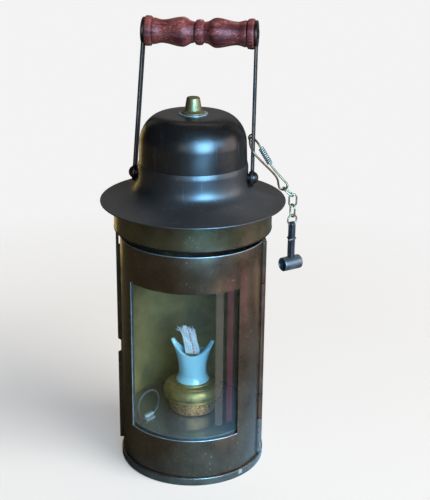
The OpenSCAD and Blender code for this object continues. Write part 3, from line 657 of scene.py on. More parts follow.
@dataclass(frozen=True)
class CottonFinish:
    """Woven cotton wick with a coloured thread along it; reads the strip's own UV map."""

    name: str
    base: Colour
    stripe: Colour
    stripe_at: float

    def build(self) -> Material:
        """Makes the material.

        Returns:
            The material.
        """
        material, sh, principled, _ = new_material(self.name)
        uv = sh.node("ShaderNodeTexCoord").outputs["UV"]
        warp = sh.node("ShaderNodeTexWave", {"Vector": uv, "Scale": 2.3, "Distortion": 0.8}, bands_direction="X")
        weft = sh.node("ShaderNodeTexWave", {"Vector": uv, "Scale": 5.0, "Distortion": 1.0}, bands_direction="Y")
        weave = sh.math("MULTIPLY", warp.outputs[1], weft.outputs[1])
        wander = sh.math("ADD", sh.axis(uv, "X"), sh.band(sh.noise(uv, 9.0), 0.3, 0.7, (-0.02, 0.02)))
        off = sh.math("SUBTRACT", wander, self.stripe_at, clamp=False)
        line = sh.band(sh.math("ABSOLUTE", off, clamp=False), 0.03, 0.055, (1, 0))
        broken = sh.band(sh.noise(sh.stretched(uv, (4, 14, 1)), 1.0), 0.38, 0.55)
        # Painted shade: the gaps of the weave are darkened.
        shade = sh.mix(sh.band(weave, 0.0, 0.4), tuple(0.68 * c for c in self.base), self.base)
        sh.feed(principled, {
            "Base Color": sh.mix(sh.math("MULTIPLY", line, broken), shade, self.stripe),
            "Roughness": 0.9,
            "Sheen Weight": 0.3,
            "Normal": sh.bump(0.6, 0.0006, weave),
        })
        return material


@dataclass(frozen=True)
class GlassFinish:
    """Clear window glass with a faint film of dust."""

    name: str
    tint: Colour

    def build(self) -> Material:
        """Makes the material, which lets light pass straight through.

        Returns:
            The material.
        """
        material, sh, principled, coords = new_material(self.name)
        film = sh.noise(sh.stretched(coords, (40, 40, 9)), 1.0, 4.0, 0.6)
        sh.feed(principled, {
            "Base Color": (*self.tint, 1), "Transmission Weight": 1.0, "IOR": 1.46,
            "Roughness": sh.band(film, 0.4, 0.75, (0.0, 0.05)),
        })
        path = sh.node("ShaderNodeLightPath").outputs
        passing = sh.math("MAXIMUM", path["Is Shadow Ray"], path["Is Diffuse Ray"])
        sh.show(passing, principled, sh.node("ShaderNodeBsdfTransparent", {"Color": (*self.tint, 1)}))
        return material


class Finishes:
    """All the lamp's materials, each built once."""

    def __init__(self) -> None:
        """Builds the materials."""
        inside = Zone((0, 0), (-1, 65.4), (8, 157), ((0.20, 0.125, 0.025), (0.38, 0.24, 0.055)), 0.75, 0.05, fade=17.0)
        worn = ((0.03, 0.018, 0.014), (0.16, 0.07, 0.03))
        knuckles = tuple(Zone(HINGE_LINE, (-1, 3.1), (z, z + KNUCKLE_H), worn, 0.45, 0.6) for z in KNUCKLE_Z)
        corroded = Zone(
            HINGE_LINE, (-1, 4.2), (9, KNUCKLE_Z[0]), ((0.055, 0.058, 0.054), (0.125, 0.13, 0.125)), 0.75, 0.1,
            edge=1.2, ragged=True,
        )
        verdigris = Zone(
            (52, -43), (-1, 3.5), (2, 8), ((0.15, 0.20, 0.19), (0.24, 0.29, 0.26)), 0.7, 0.1, edge=1.2, ragged=True
        )
        # Painted shade: a near-black, dull band round the outer edge of the tank top, in the corner by the wall.
        painted_shade_rim = Zone(
            (0, 0), (59.4, 90), (0, 60), ((0.020, 0.020, 0.019), (0.045, 0.044, 0.040)), 0.6, 0.3, edge=0.4
        )
        self.black = MetalFinish(
            "black_bronze", (0.034, 0.029, 0.027), (0.060, 0.050, 0.045), (0.25, 0.24, 0.23),
            metallic=0.85, rough=(0.27, 0.35), scale=22, speck_amount=0.07, scratch=0.5,
        ).build()
        self.cowl = MetalFinish(
            "cowl_bronze", (0.046, 0.041, 0.040), (0.068, 0.060, 0.056), (0.25, 0.24, 0.23),
            metallic=0.68, rough=(0.33, 0.41), scale=22, speck_amount=0.07, scratch=0.5,
        ).build()
        # Near-black bronze of the straps; on the top deck and the collar's rolled rim it is painted shade.
        self.strap = MetalFinish(
            "strap_bronze_and_painted_shade", (0.018, 0.012, 0.010), (0.060, 0.027, 0.018), (0.2, 0.12, 0.08),
            metallic=0.8, rough=(0.30, 0.42), scale=70, speck_amount=0.1,
        ).build()
        self.door = MetalFinish(
            "door_bronze", (0.068, 0.041, 0.023), (0.105, 0.072, 0.044), (0.26, 0.23, 0.14),
            metallic=0.75, rough=(0.26, 0.34), scale=34, speck_amount=0.16, zones=(corroded,),
        ).build()
        self.shell = MetalFinish(
            "shell_bronze", (0.055, 0.044, 0.030), (0.095, 0.078, 0.050), (0.30, 0.28, 0.18),
            metallic=0.75, rough=(0.32, 0.45), scale=34, speck_amount=0.13, zones=(inside, *knuckles),
        ).build()
        self.olive = MetalFinish(
            "olive_bronze", (0.085, 0.066, 0.032), (0.122, 0.098, 0.052), (0.36, 0.33, 0.22),
            metallic=0.75, rough=(0.27, 0.36), scale=40, speck_amount=0.14,
        ).build()
        self.base = MetalFinish(
            "base_bronze", (0.080, 0.068, 0.052), (0.125, 0.108, 0.084), (0.34, 0.32, 0.22),
            metallic=0.75, rough=(0.20, 0.32), scale=44, speck_amount=0.14,
            zones=(verdigris,),
        ).build()
        self.brass = MetalFinish(
            "old_brass", (0.39, 0.25, 0.066), (0.19, 0.123, 0.035), (0.55, 0.42, 0.18),
            metallic=0.6, rough=(0.30, 0.42), scale=170, speck_amount=0.16, bump=0.2,
        ).build()
        self.finial = MetalFinish(
            "finial_brass", (0.20, 0.145, 0.060), (0.14, 0.10, 0.042), (0.5, 0.44, 0.30),
            metallic=0.75, rough=(0.42, 0.55), scale=120, speck_amount=0.12,
        ).build()
        self.copper = MetalFinish(
            "burner_copper", (0.17, 0.068, 0.018), (0.92, 0.40, 0.135), (0.9, 0.46, 0.24),
            metallic=0.7, rough=(0.34, 0.48), scale=620, speck_amount=0.1, bump=0.5,
        ).build()
        # Pale worn metal for the wires on the door's edges, brighter than the door so that they read as highlights:
        # painted highlight on wear.
        self.edge = MetalFinish(
            "worn_edge_highlight", (0.24, 0.26, 0.26), (0.36, 0.38, 0.37), (0.6, 0.62, 0.6),
            metallic=0.8, rough=(0.34, 0.46), scale=160, speck_amount=0.2,
        ).build()
        self.pale = MetalFinish(
            "pale_washer", (0.24, 0.24, 0.23), (0.32, 0.32, 0.30), (0.6, 0.6, 0.58),
            metallic=0.7, rough=(0.45, 0.6), scale=140,
        ).build()
        self.tank = MetalFinish(
            "tank_sheet", (0.20, 0.21, 0.20), (0.28, 0.29, 0.26), (0.42, 0.42, 0.36),
            metallic=0.8, rough=(0.08, 0.18), scale=26, speck_amount=0.12, scratch=0.6, bump=0.006,
            zones=(painted_shade_rim,),
        ).build()
        self.steel = MetalFinish(
            "steel_wire", (0.085, 0.078, 0.070), (0.16, 0.145, 0.13), (0.45, 0.42, 0.38),
            metallic=0.8, rough=(0.36, 0.5), scale=220,
        ).build()
        self.ring = MetalFinish(
            "dull_wire", (0.042, 0.036, 0.030), (0.080, 0.068, 0.055), (0.3, 0.27, 0.22),
            metallic=0.5, rough=(0.45, 0.6), scale=220,
        ).build()
        self.wrap = MetalFinish(
            "wrap_wire", (0.33, 0.30, 0.235), (0.22, 0.195, 0.15), (0.6, 0.56, 0.48),
            metallic=0.6, rough=(0.35, 0.5), scale=220,
        ).build()
        self.barrel = MetalFinish(
            "barrel_steel", (0.085, 0.083, 0.080), (0.15, 0.148, 0.145), (0.4, 0.41, 0.41),
            metallic=0.8, rough=(0.35, 0.5), scale=120, scratch=0.5,
        ).build()
        self.links = MetalFinish(
            "pale_brass", (0.34, 0.29, 0.18), (0.22, 0.17, 0.09), (0.6, 0.55, 0.42),
            metallic=0.85, rough=(0.26, 0.42), scale=260, speck_amount=0.12,
        ).build()
        self.lanyard = MetalFinish(
            "lanyard_brass", (0.21, 0.125, 0.062), (0.14, 0.07, 0.032), (0.5, 0.42, 0.30),
            metallic=0.85, rough=(0.28, 0.44), scale=160, speck_amount=0.14,
        ).build()
        self.band = MetalFinish(
            "black_band", (0.010, 0.010, 0.011), (0.022, 0.022, 0.024), (0.12, 0.12, 0.13),
            metallic=0.2, rough=(0.4, 0.6), scale=140, speck_amount=0.08,
        ).build()
        self.wood = WoodFinish("mahogany", (0.055, 0.009, 0.008), (0.205, 0.036, 0.028), (0.64, 0.36, 0.30)).build()
        self.glaze = GlazeFinish(
            "porcelain", (0.37, 0.66, 0.74), (0.33, 0.61, 0.71), (0.16, 0.16, 0.15), (106, 120)
        ).build()
        self.cotton = CottonFinish("wick_cotton", (0.99, 0.96, 0.94), (0.55, 0.16, 0.17), 0.6).build()
        self.glass = GlassFinish("window_glass", (0.93, 0.97, 0.96)).build()


class Bench:
    """Places pieces on the lamp: dresses them, lets them ride and reports them."""

    def __init__(self) -> None:
        """Builds the finishes that the pieces take."""
        self.finishes = Finishes()

    def dress(self, node: str, material: Material) -> None:
        """Gives a carried-over CAD node its material.

        Args:
            node: name of the CAD node.
            material: finish of the node.
        """
        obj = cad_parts[node]
        if obj.material_slots:
            for held in obj.material_slots:
                held.material = material
        else:
            obj.data.materials.append(material)
        LOG.info("dressed %s", node)

    def add(
        self, obj: Piece, material: Material, body: Body, slot: str, *nodes: str
    ) -> Piece:
        """Finishes a new piece.

        Args:
            obj: the piece, in place.
            material: its finish.
            body: body that it rides on.
            slot: material slot of the record; not used.
            nodes: CAD nodes that it stands for.

        Returns:
            The piece.
        """
        obj.data.materials.clear()
        obj.data.materials.append(material)
        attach(obj, body.value)
        if nodes:
            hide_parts(*nodes)
        LOG.info("built %s on %s", obj.name, body.value)
        return obj


# Sub-assemblies


@dataclass
class Assembly:
    """Pieces of the lamp that are made together, and the bench that places them."""

    bench: Bench

    @property
    def looks(self) -> Finishes:
        """The lamp's finishes."""
        return self.bench.finishes


@dataclass
class LampBody(Assembly):
    """Base, rear shell, door and glazing."""

    base_r: float = 68.0
    base_h: float = 7.6
    base_floor: float = 1.2
    upstand_in: float = 2.6
    upstand_h: float = 5.8
    shell_r: float = 66.0
    sheet: float = 1.0
    door_spread: tuple[float, float] = (-84.0, 77.9)
    door_z: tuple[float, float] = (8.4, 223.5)
    window_half: float = 48.0
    window_z: tuple[float, float] = (45.0, 189.5)
    knuckle_r: float = 2.95
    knuckle_bore: float = 1.85
    knuckle_cut: tuple[float, float] = (76.05, 90.0)
    edge_r: float = 0.5
    edge_proud: float = 0.3
    gap: float = 0.4

    def base(self) -> None:
        """Turns the base with its rounded edges."""
        outer, ledge, floor = self.base_r, self.base_h, self.base_floor
        wall, top = self.shell_r - self.upstand_in, self.base_h + self.upstand_h
        outline = rounded([
            (0, 0, 0), (outer, 0, 0.9), (outer, ledge, 1.3), (wall, ledge, 0.2), (wall, top, 0.2),
            (wall - self.sheet, top, 0.2), (wall - self.sheet, floor, 0.3), (0, floor, 0),
        ])
        piece = turned("base_foot", outline, steps=160)
        self.bench.add(piece, self.looks.base, Body.ROOT, "olive_bronze", "base_pan")

    def door(self) -> None:
        """Rolls the door with its window and turns its hinge knuckles."""
        lows = [z - self.gap for z in KNUCKLE_Z]
        highs = [z + KNUCKLE_H + self.gap for z in KNUCKLE_Z]
        cuts = [(-self.window_half, self.window_half, *self.window_z)]
        cuts += [(*self.knuckle_cut, low, high) for low, high in zip(lows, highs)]
        piece = curved_sheet("door_sheet", self.shell_r, self.sheet, self.door_spread, self.door_z, cuts, 0.3)
        self.bench.add(piece, self.looks.door, Body.DOOR, "door_bronze", "door_shell")
        place = Matrix.Translation(mm(*HINGE_LINE, 0))
        r, bore = self.knuckle_r, self.knuckle_bore
        for i, (z0, z1) in enumerate(zip([self.door_z[0], *highs], [*lows, self.door_z[1]])):
            outline = rounded([(bore, z0, 0), (r, z0, 0.5), (r, z1, 0.5), (bore, z1, 0)])
            piece = turned(f"door_knuckle_{i + 1}", outline, place, steps=32)
            self.bench.add(piece, self.looks.door, Body.DOOR, "door_bronze")

    def edges(self) -> None:
        """Draws pale wire lines along the door's top and the window's left and lower side: worn metal with a painted
        highlight on the edges that face the light.
        """
        r = self.shell_r - self.edge_r
        left, right = -self.window_half, self.window_half
        low, high = self.window_z

        def line(a0: float, a1: float, z0: float, z1: float, out: float = 0.0) -> list[Vector]:
            """Gives points on the door between two angles and heights."""
            turns = [(math.radians(a0 + (a1 - a0) * k / 48), z0 + (z1 - z0) * k / 48) for k in range(49)]
            return [mm((r + out) * math.sin(a), -(r + out) * math.cos(a), z) for a, z in turns]

        top = self.door_z[1]
        paths = [line(*self.door_spread, top, top, self.edge_proud)]
        paths += [line(left, left, low, high), line(left, right, low, low)]
        # Only the edges that face the light get a wire: painted highlight.
        piece = wire("door_edge_highlights", paths, self.edge_r)
        self.bench.add(piece, self.looks.edge, Body.DOOR, "door_bronze")

    def build(self) -> None:
        """Builds the base and door and dresses the other solids of the body."""
        self.base()
        self.door()
        self.edges()
        f = self.looks
        for material, nodes in (
            (f.shell, ("rear_shell",)),
            (f.glass, ("window_glass",)),
            # The top deck takes the near-black strap finish: painted shade where it shows in the gap under the collar.
            (f.strap, ("top_deck",)),
            (f.brass, ("catch_spring", "finial_nut")),
            (f.olive, ("hinge_pin", "catch_rivets", "glass_sill", "glass_head", "chimney_tube")),
            (f.olive, ("glass_channel_left", "glass_channel_right")),
        ):
            for node in nodes:
                self.bench.dress(node, material)


@dataclass
class TopWorks(Assembly):
    """Collar, cowl, dome and finial."""

    brim_r: float = 83.0
    brim_z: float = 256.0
    neck_r: float = 49.05
    seam_z: float = 290.5
    flare: float = 5.6
    lip_in: float = 0.85
    lip_h: float = 4.4
    sheet: float = 1.0
    dome_r: float = 48.0
    shoulder_r: float = 47.3
    shoulder_z: float = 307.8
    crown_h: float = 25.2
    flat_r: float = 26.5
    dome_shape: float = 1.9
    lap_z: float = 284.5
    stud_r: float = 4.0
    washer_r: float = 12.8
    washer_t: float = 0.8
    finial_r: float = 10.4
    finial_h: float = 14.1
    collar_r: float = 71.0
    collar_z: float = 230.2

    @property
    def top_z(self) -> float:
        """Height of the dome's flat top."""
        return self.shoulder_z + self.crown_h

    def cowl_point(self, q: float) -> tuple[float, float]:
        """Gives radius and height of the cowl where the share q of its climb is left."""
        climb = self.seam_z - self.brim_z
        return self.neck_r + (self.brim_r - self.neck_r) * q**self.flare, self.seam_z - q * climb

    def cowl(self) -> None:
        """Turns the flared cowl with a rolled brim edge and a lip at the seam."""
        shares = [1 - (i / 60) ** 1.6 for i in range(61)]
        climb = self.seam_z - self.brim_z
        outer = [self.cowl_point(q) for q in shares]
        outer = [(r - self.lip_in * max(1 - q * climb / self.lip_h, 0.0) ** 1.3, z) for q, (r, z) in zip(shares, outer)]
        inner = []
        for q in shares:
            r, z = self.cowl_point(q)
            run = self.flare * (self.brim_r - self.neck_r) / climb * q ** (self.flare - 1)
            n = math.hypot(1, run)
            inner.append((r - self.sheet / n, z - self.sheet * run / n))
        edge_r, edge_z = outer[0]
        turns = (0.4, 1.0, 1.57, 2.1, 2.8)
        bead = [(edge_r - 0.45 + 0.45 * math.sin(a), edge_z - 0.5 + 0.55 * math.cos(a)) for a in turns]
        lip = [(self.neck_r - self.lip_in, self.seam_z)]
        outline = bead[::-1] + outer[1:-1] + lip + inner[::-1][:-1]
        piece = turned("cowl_skin", outline, steps=180, sharp=50)
        self.bench.add(piece, self.looks.cowl, Body.ROOT, "black_bronze", "cowl")

    def shoulder(self, r: float, h: float) -> Outline:
        """Draws the dome's shoulder from its side up to the flat top.

        Args:
            r: radius of the side, in millimetres.
            h: climb of the shoulder, in millimetres.

        Returns:
            The outline's points as radius and height.
        """
        power, run = 2 / self.dome_shape, r - self.flat_r
        turns = [math.pi / 2 * i / 48 for i in range(49)]
        return [
            (self.flat_r + run * max(math.cos(a), 0.0) ** power, self.shoulder_z + h * math.sin(a) ** power)
            for a in turns
        ]

    def dome(self) -> None:
        """Turns the dome with its flat seat for the finial."""
        hole, under = self.stud_r + 0.05, self.dome_r - self.sheet
        outer = [(self.dome_r, self.lap_z), (self.dome_r, self.seam_z)] + self.shoulder(self.shoulder_r, self.crown_h)
        inner = self.shoulder(self.shoulder_r - self.sheet, self.crown_h - self.sheet)
        middle = [(hole, self.top_z), (hole, self.top_z - self.sheet)]
        outline = outer + middle + inner[::-1] + [(under, self.seam_z), (under, self.lap_z)]
        piece = turned("dome_skin", outline, steps=160, sharp=50)
        self.bench.add(piece, self.looks.black, Body.ROOT, "black_bronze", "dome")

    def finial(self) -> None:
        """Turns the finial and its washer."""
        z, b, r = self.top_z, self.top_z + self.washer_t, self.stud_r
        washer = rounded([(r, z, 0), (self.washer_r, z, 0.2), (self.washer_r, b, 0.5), (r, b, 0)])
        piece = turned("washer_ring", washer, steps=96)
        self.bench.add(piece, self.looks.pale, Body.ROOT, "pale_metal", "finial_washer")
        f, h = self.finial_r, self.finial_h
        cone = rounded([
            (0, b - 7.8, 0), (r, b - 7.8, 0.3), (r, b, 0), (f, b, 0.3), (f, b + 0.9, 0.7), (f - 1.4, b + 1.8, 1.0),
            (7.5, b + 2.8, 0.8), (5.8, b + h - 0.7, 0.8), (4.9, b + h, 0.5), (0, b + h, 0),
        ])
        piece = turned("finial_knob", cone, steps=96, closed=False, sharp=45)
        self.bench.add(piece, self.looks.finial, Body.ROOT, "old_brass", "finial")

    def collar_rim_painted_shade(self) -> None:
        """Turns the rolled lower edge of the collar, in the near-black strap finish: painted shade over the dark gap
        above the door.
        """
        r, z = self.collar_r, self.collar_z
        outline = rounded([(r - 1.1, z, 0.3), (r + 0.3, z, 0.5), (r + 0.3, z + 1.2, 0.5), (r - 1.1, z + 1.2, 0)])
        piece = turned("collar_rim_painted_shade", outline, steps=160)
        self.bench.add(piece, self.looks.strap, Body.ROOT, "olive_bronze")

    def build(self) -> None:
        """Builds the top of the lamp."""
        self.cowl()
        self.dome()
        self.finial()
        self.collar_rim_painted_shade()
        self.bench.dress("collar", self.looks.olive)


@dataclass
class Bail(Assembly):
    """Straps, grip and pivots."""

    pivot_z: float = 277.7
    length: float = 125.2
    lean: float = 16.5
    strap_x: float = 51.5561
    strap_w: float = 10.0
    strap_t: float = 2.5
    tilt: float = 1.2
    eye_r: float = 8.2
    disc_r: float = 12.0
    grip_r: float = 13.4
    grip_half: float = 48.63
    rod_r: float = 3.05
    grip_stations: tuple[tuple[float, float], ...] = (
        (0, 0.845), (2.4, 0.82), (4.6, 0.665), (5.6, 0.71), (14.8, 0.98), (33.7, 0.765), (41.2, 0.87), (41.9, 0.84),
        (43.4, 0.98), (46.4, 1.0), (47.6, 1.0), (48.3, 0.975), (48.63, 0.93),
    )

    def frame(self) -> Matrix:
        """Gives the leaning frame with its origin on the pivot axis."""
        return Matrix.Translation(mm(0, 0, self.pivot_z)) @ Matrix.Rotation(-math.radians(self.lean), 4, "X")

    def strap_frame(self) -> Matrix:
        """Gives the right-hand strap's frame on its inner face, +Z along the strap."""
        turn = Matrix.Rotation(-math.radians(self.tilt), 4, "Y")
        return self.frame() @ Matrix.Translation(mm(self.strap_x, 0, 0)) @ turn

    def outline(self) -> Outline:
        """Draws the strap's flat outline, with its lower eye and its upper disc.

        Returns:
            The outline's points, across and along the strap.
        """
        half = self.strap_w / 2
        low = math.asin(half / self.eye_r)
        high = math.asin(half / self.disc_r)
        length = self.length / math.cos(math.radians(self.tilt))
        points = []
        for i in range(33):
            a = math.pi / 2 + low + (2 * math.pi - 2 * low) * i / 32
            points.append((self.eye_r * math.cos(a), self.eye_r * math.sin(a)))
        for i in range(41):
            a = -math.pi / 2 + high + (2 * math.pi - 2 * high) * i / 40
            points.append((self.disc_r * math.cos(a), length + self.disc_r * math.sin(a)))
        return points

    def straps(self) -> None:
        """Cuts the two straps."""
        for side, node in ((1, "strap_right"), (-1, "strap_left")):
            piece = plate("bail_" + node, self.outline(), self.strap_t, self.strap_frame() @ UPRIGHT, 0.5)
            if side < 0:
                bm = bmesh.new()
                bm.from_mesh(piece.data)
                bmesh.ops.transform(bm, matrix=Matrix.Scale(-1, 4, (1, 0, 0)), verts=bm.verts)
                bmesh.ops.reverse_faces(bm, faces=bm.faces)
                bm.to_mesh(piece.data)
                bm.free()
            self.bench.add(piece, self.looks.strap, Body.BAIL, "black_bronze", node)

    def grip_profile(self) -> Outline:
        """Draws the grip's outline through its stations.

        Returns:
            The outline's points as radius and distance along the grip.
        """
        half = []
        for (x0, r0), (x1, r1) in zip(self.grip_stations, self.grip_stations[1:]):
            steps = max(2, round((x1 - x0) / 0.6))
            for k in range(steps):
                u = k / steps
                half.append((self.grip_r * (r0 + (r1 - r0) * (1 - math.cos(math.pi * u)) / 2), x0 + (x1 - x0) * u))
        half.append((self.grip_r * self.grip_stations[-1][1], self.grip_half))
        mirrored = [(r, -x) for r, x in half[:0:-1]]
        return [(self.rod_r, -self.grip_half), *mirrored, *half, (self.rod_r, self.grip_half)]

    def grip(self) -> None:
        """Turns the wooden grip."""
        place = self.frame() @ Matrix.Translation(mm(0, 0, self.length)) @ Matrix.Rotation(math.pi / 2, 4, "Y")
        piece = turned("turned_grip", self.grip_profile(), place, steps=96, sharp=50)
        self.bench.add(piece, self.looks.wood, Body.BAIL, "mahogany", "wooden_grip")

    def build(self) -> None:
        """Builds the bail."""
        self.straps()
        self.grip()
        for node in ("grip_rod", "bail_bosses", "bail_rivets", "lanyard_eye"):
            self.bench.dress(node, self.looks.black)


@dataclass
class Lanyard(Assembly):
    """Stiff wire loop round the right-hand strap, with its wrapped end."""

    bail: Bail
    wire_r: float = 0.95
    eye_h: float = 33.0
    eye_r: float = 3.9
    hang: Point = LANYARD_HANG
    wrap_r: float = 0.82
    wrap_turns: int = 9
    wrap_pitch: float = 1.78

    def on_strap(self, x: float, y: float, z: float) -> Vector:
        """Gives the place on the lamp of a point on the strap's inner face."""
        return self.bail.strap_frame() @ mm(x, y, z)

    def build(self) -> None:
        """Bends the loop and winds its wrapped end."""
        t, w, h = self.bail.strap_t, self.bail.strap_w, self.eye_h
        hang = mm(*self.hang)
        top = self.on_strap(t + 2.8, w / 2 + 0.6, h - 3)
        run = (hang - top).normalized()
        side = -run.cross(Vector((0, 1, 0))).normalized()
        centre = hang - run * (self.eye_r * MM)

        def eye(angle: float) -> Vector:
            """Gives a point on the loop's lower eye."""
            a = math.radians(angle)
            return centre + (run * math.cos(a) + side * math.sin(a)) * (self.eye_r * MM)

        start = top + run * (4 * MM)
        end = start + run * ((self.wrap_turns * self.wrap_pitch + 1) * MM)
        mid = (start + end) / 2
        route = [
            mid - run * (0.3 * MM), start, top,
            self.on_strap(t / 2 + 0.4, w / 2 + 1.9, h + 1), self.on_strap(-1.5, w / 2 + 0.3, h + 2.4),
            self.on_strap(-1.15, 0, h + 2), self.on_strap(-1.4, -w / 2 + 0.4, h + 0.6),
            self.on_strap(t / 2 - 1.4, -w / 2 - 1.6, h - 6), self.on_strap(t + 2.6, -w / 2 - 1.8, h - 14),
            eye(140) - run * (9 * MM) - side * (2 * MM) - mm(0, 4, 0),
            *[eye(a) for a in range(120, -121, -40)],
            eye(-140) - run * (9 * MM) + side * (1.2 * MM), end, mid + run * (0.3 * MM),
        ]
        piece = wire("lanyard_loop", [curve_through(route, 8)], self.wire_r)
        self.bench.add(piece, self.looks.lanyard, Body.BAIL, "pale_brass", "lanyard_wire")
        n = run.cross(Vector((0, 1, 0))).normalized()
        m = run.cross(n)
        coil_r = (self.wire_r + self.wrap_r + 0.12) * MM
        turns = []
        for i in range(self.wrap_turns * 24 + 1):
            a = 2 * math.pi * i / 24
            along = run * ((0.5 + self.wrap_pitch * i / 24) * MM)
            turns.append(start + along + (n * math.cos(a) + m * math.sin(a)) * coil_r)
        piece = wire("wrapped_end", [turns], self.wrap_r)
        self.bench.add(piece, self.looks.wrap, Body.BAIL, "steel_wire", "wire_wrap")


@dataclass
class ChainToggle(Assembly):
    """Chain links, end ring and the toggle."""

    hang: Point = LANYARD_HANG
    wire_r: float = 0.8
    lanyard_r: float = 0.85
    gap: float = 0.3
    first_tilt: float = 50.0
    turns: tuple[float, ...] = (90.0, 20.0, -50.0, 40.0)
    link_l: float = 13.2
    link_w: float = 8.4
    ring_r: float = 4.7
    strap_l: float = 34.0
    strap_w: float = 4.2
    strap_t: float = 1.2
    fold_r: float = 1.695
    barrel_r: float = 6.4
    barrel_l: float = 19.0
    sink: float = 3.5
    tie_r: float = 0.42

    def direction(self, i: int) -> Vector:
        """Gives the direction in which link i hangs."""
        a = math.radians(self.first_tilt)
        return Vector((math.sin(a), 0, -math.cos(a))) if i == 0 else Vector((0, 0, -1))

    def length(self, i: int) -> float:
        """Gives the length of link i along the middle of its wire."""
        return self.link_l - 2 * self.wire_r if i < 3 else 2 * self.ring_r

    def step(self, i: int) -> float:
        """Gives how far link i's top lies beyond the wire on which it hangs."""
        return self.lanyard_r + self.wire_r + 2 * self.gap if i == 0 else 2 * self.wire_r + self.gap

    def hook(self, i: int) -> Vector:
        """Finds the middle of the wire on which a link hangs.

        Args:
            i: number of the link, from the top.

        Returns:
            The place in millimetres.
        """
        if i == 0:
            return Vector(self.hang)
        return self.hook(i - 1) + self.direction(i - 1) * (self.length(i - 1) - self.step(i - 1))

    def links(self) -> None:
        """Bends the links and the ring."""
        for i, node in enumerate(("chain_link_1", "chain_link_2", "chain_link_3", "chain_ring")):
            bend = self.link_w / 2 - self.wire_r if i < 3 else self.ring_r
            straight = self.length(i) - 2 * bend
            tilt = self.first_tilt if i == 0 else 0.0
            place = (
                Matrix.Translation((self.hook(i) - self.direction(i) * self.step(i)) * MM)
                @ Matrix.Rotation(-math.radians(tilt), 4, "Y")
                @ Matrix.Rotation(math.radians(self.turns[i]), 4, "Z")
            )
            loop = []
            for k in range(48):
                a = 2 * math.pi * k / 48
                drop = 0.0 if math.sin(a) >= 0 else straight
                loop.append(place @ mm(bend * math.cos(a), 0, -bend + bend * math.sin(a) - drop))
            piece = wire("bent_" + node, [loop], self.wire_r, cyclic=True)
            self.bench.add(piece, self.looks.links, Body.CHAIN, "pale_brass", node)

    def toggle_frame(self) -> Matrix:
        """Gives the toggle's frame, +X along the wire on which it hangs."""
        return Matrix.Translation(self.hook(4) * MM) @ Matrix.Rotation(math.radians(self.turns[3]), 4, "Z")

    def folded_strap(self) -> None:
        """Folds the black band over the ring."""
        r = self.fold_r
        outer: Outline = []
        inner: Outline = []
        for radius, line in ((r + self.strap_t, outer), (r, inner)):
            line.append((-radius, -self.strap_l))
            line.extend((-radius + 0.12 * math.sin(0.21 * z), z) for z in range(-32, 0, 4))
            line.extend((-radius * math.cos(math.pi * k / 20), radius * math.sin(math.pi * k / 20)) for k in range(21))
            line.extend((radius + 0.12 * math.sin(0.21 * z), z) for z in range(-4, -34, -4))
            line.append((radius, -self.strap_l))
        shift = Matrix.Translation(mm(-self.strap_w / 2, 0, 0))
        piece = plate("folded_band", outer[::-1] + inner, self.strap_w, self.toggle_frame() @ shift @ UPRIGHT, 0.25)
        self.bench.add(piece, self.looks.band, Body.TOGGLE, "black_strap", "toggle_strap")

    def tie(self) -> None:
        """Winds the binding wire and twists its ends."""
        z = -0.4 * self.strap_l + 0.8
        half_x, half_y = self.strap_w / 2 + 0.6, self.fold_r + self.strap_t + 0.6
        place = self.toggle_frame()
        loop = []
        for i in range(97):
            a = 2 * math.pi * i / 48
            c, s = math.cos(a), math.sin(a)
            grow = 1 / max(abs(c) ** 6 + abs(s) ** 6, 1e-6) ** (1 / 6)
            loop.append(place @ mm(half_x * c * grow, half_y * s * grow, z - 0.7 + 1.4 * i / 96))
        tails = []
        for phase in (0.0, math.pi):
            tail = []
            for i in range(25):
                a = phase + 2 * math.pi * i / 10
                out = i * 0.13
                tail.append(place @ mm(-half_x - 0.1 - out, -half_y + 0.5 * math.cos(a), z + 0.5 * math.sin(a)))
            tails.append(tail)
        piece = wire("binding_wire", [loop, *tails], self.tie_r)
        self.bench.add(piece, self.looks.steel, Body.TOGGLE, "steel_wire", "toggle_tie")

    def barrel(self) -> None:
        """Turns the barrel with its hollow end."""
        half, r = self.barrel_l / 2, self.barrel_r
        outline = rounded([
            (0, -half + 4.5, 0), (r - 1.5, -half + 4.5, 0.3), (r - 1.5, -half, 0.5), (r - 0.1, -half, 0.7),
            (r, -half + 2, 0.5), (r, half, 1.2), (0, half, 0),
        ])
        z = -self.strap_l + self.sink - r
        place = self.toggle_frame() @ Matrix.Translation(mm(0, 0, z)) @ Matrix.Rotation(math.pi / 2, 4, "Y")
        piece = turned("toggle_drum", outline, place, steps=64, closed=False, sharp=45)
        self.bench.add(piece, self.looks.barrel, Body.TOGGLE, "barrel_steel", "toggle_barrel")

    def build(self) -> None:
        """Builds the chain and the toggle."""
        self.links()
        self.folded_strap()
        self.tie()
        self.barrel()


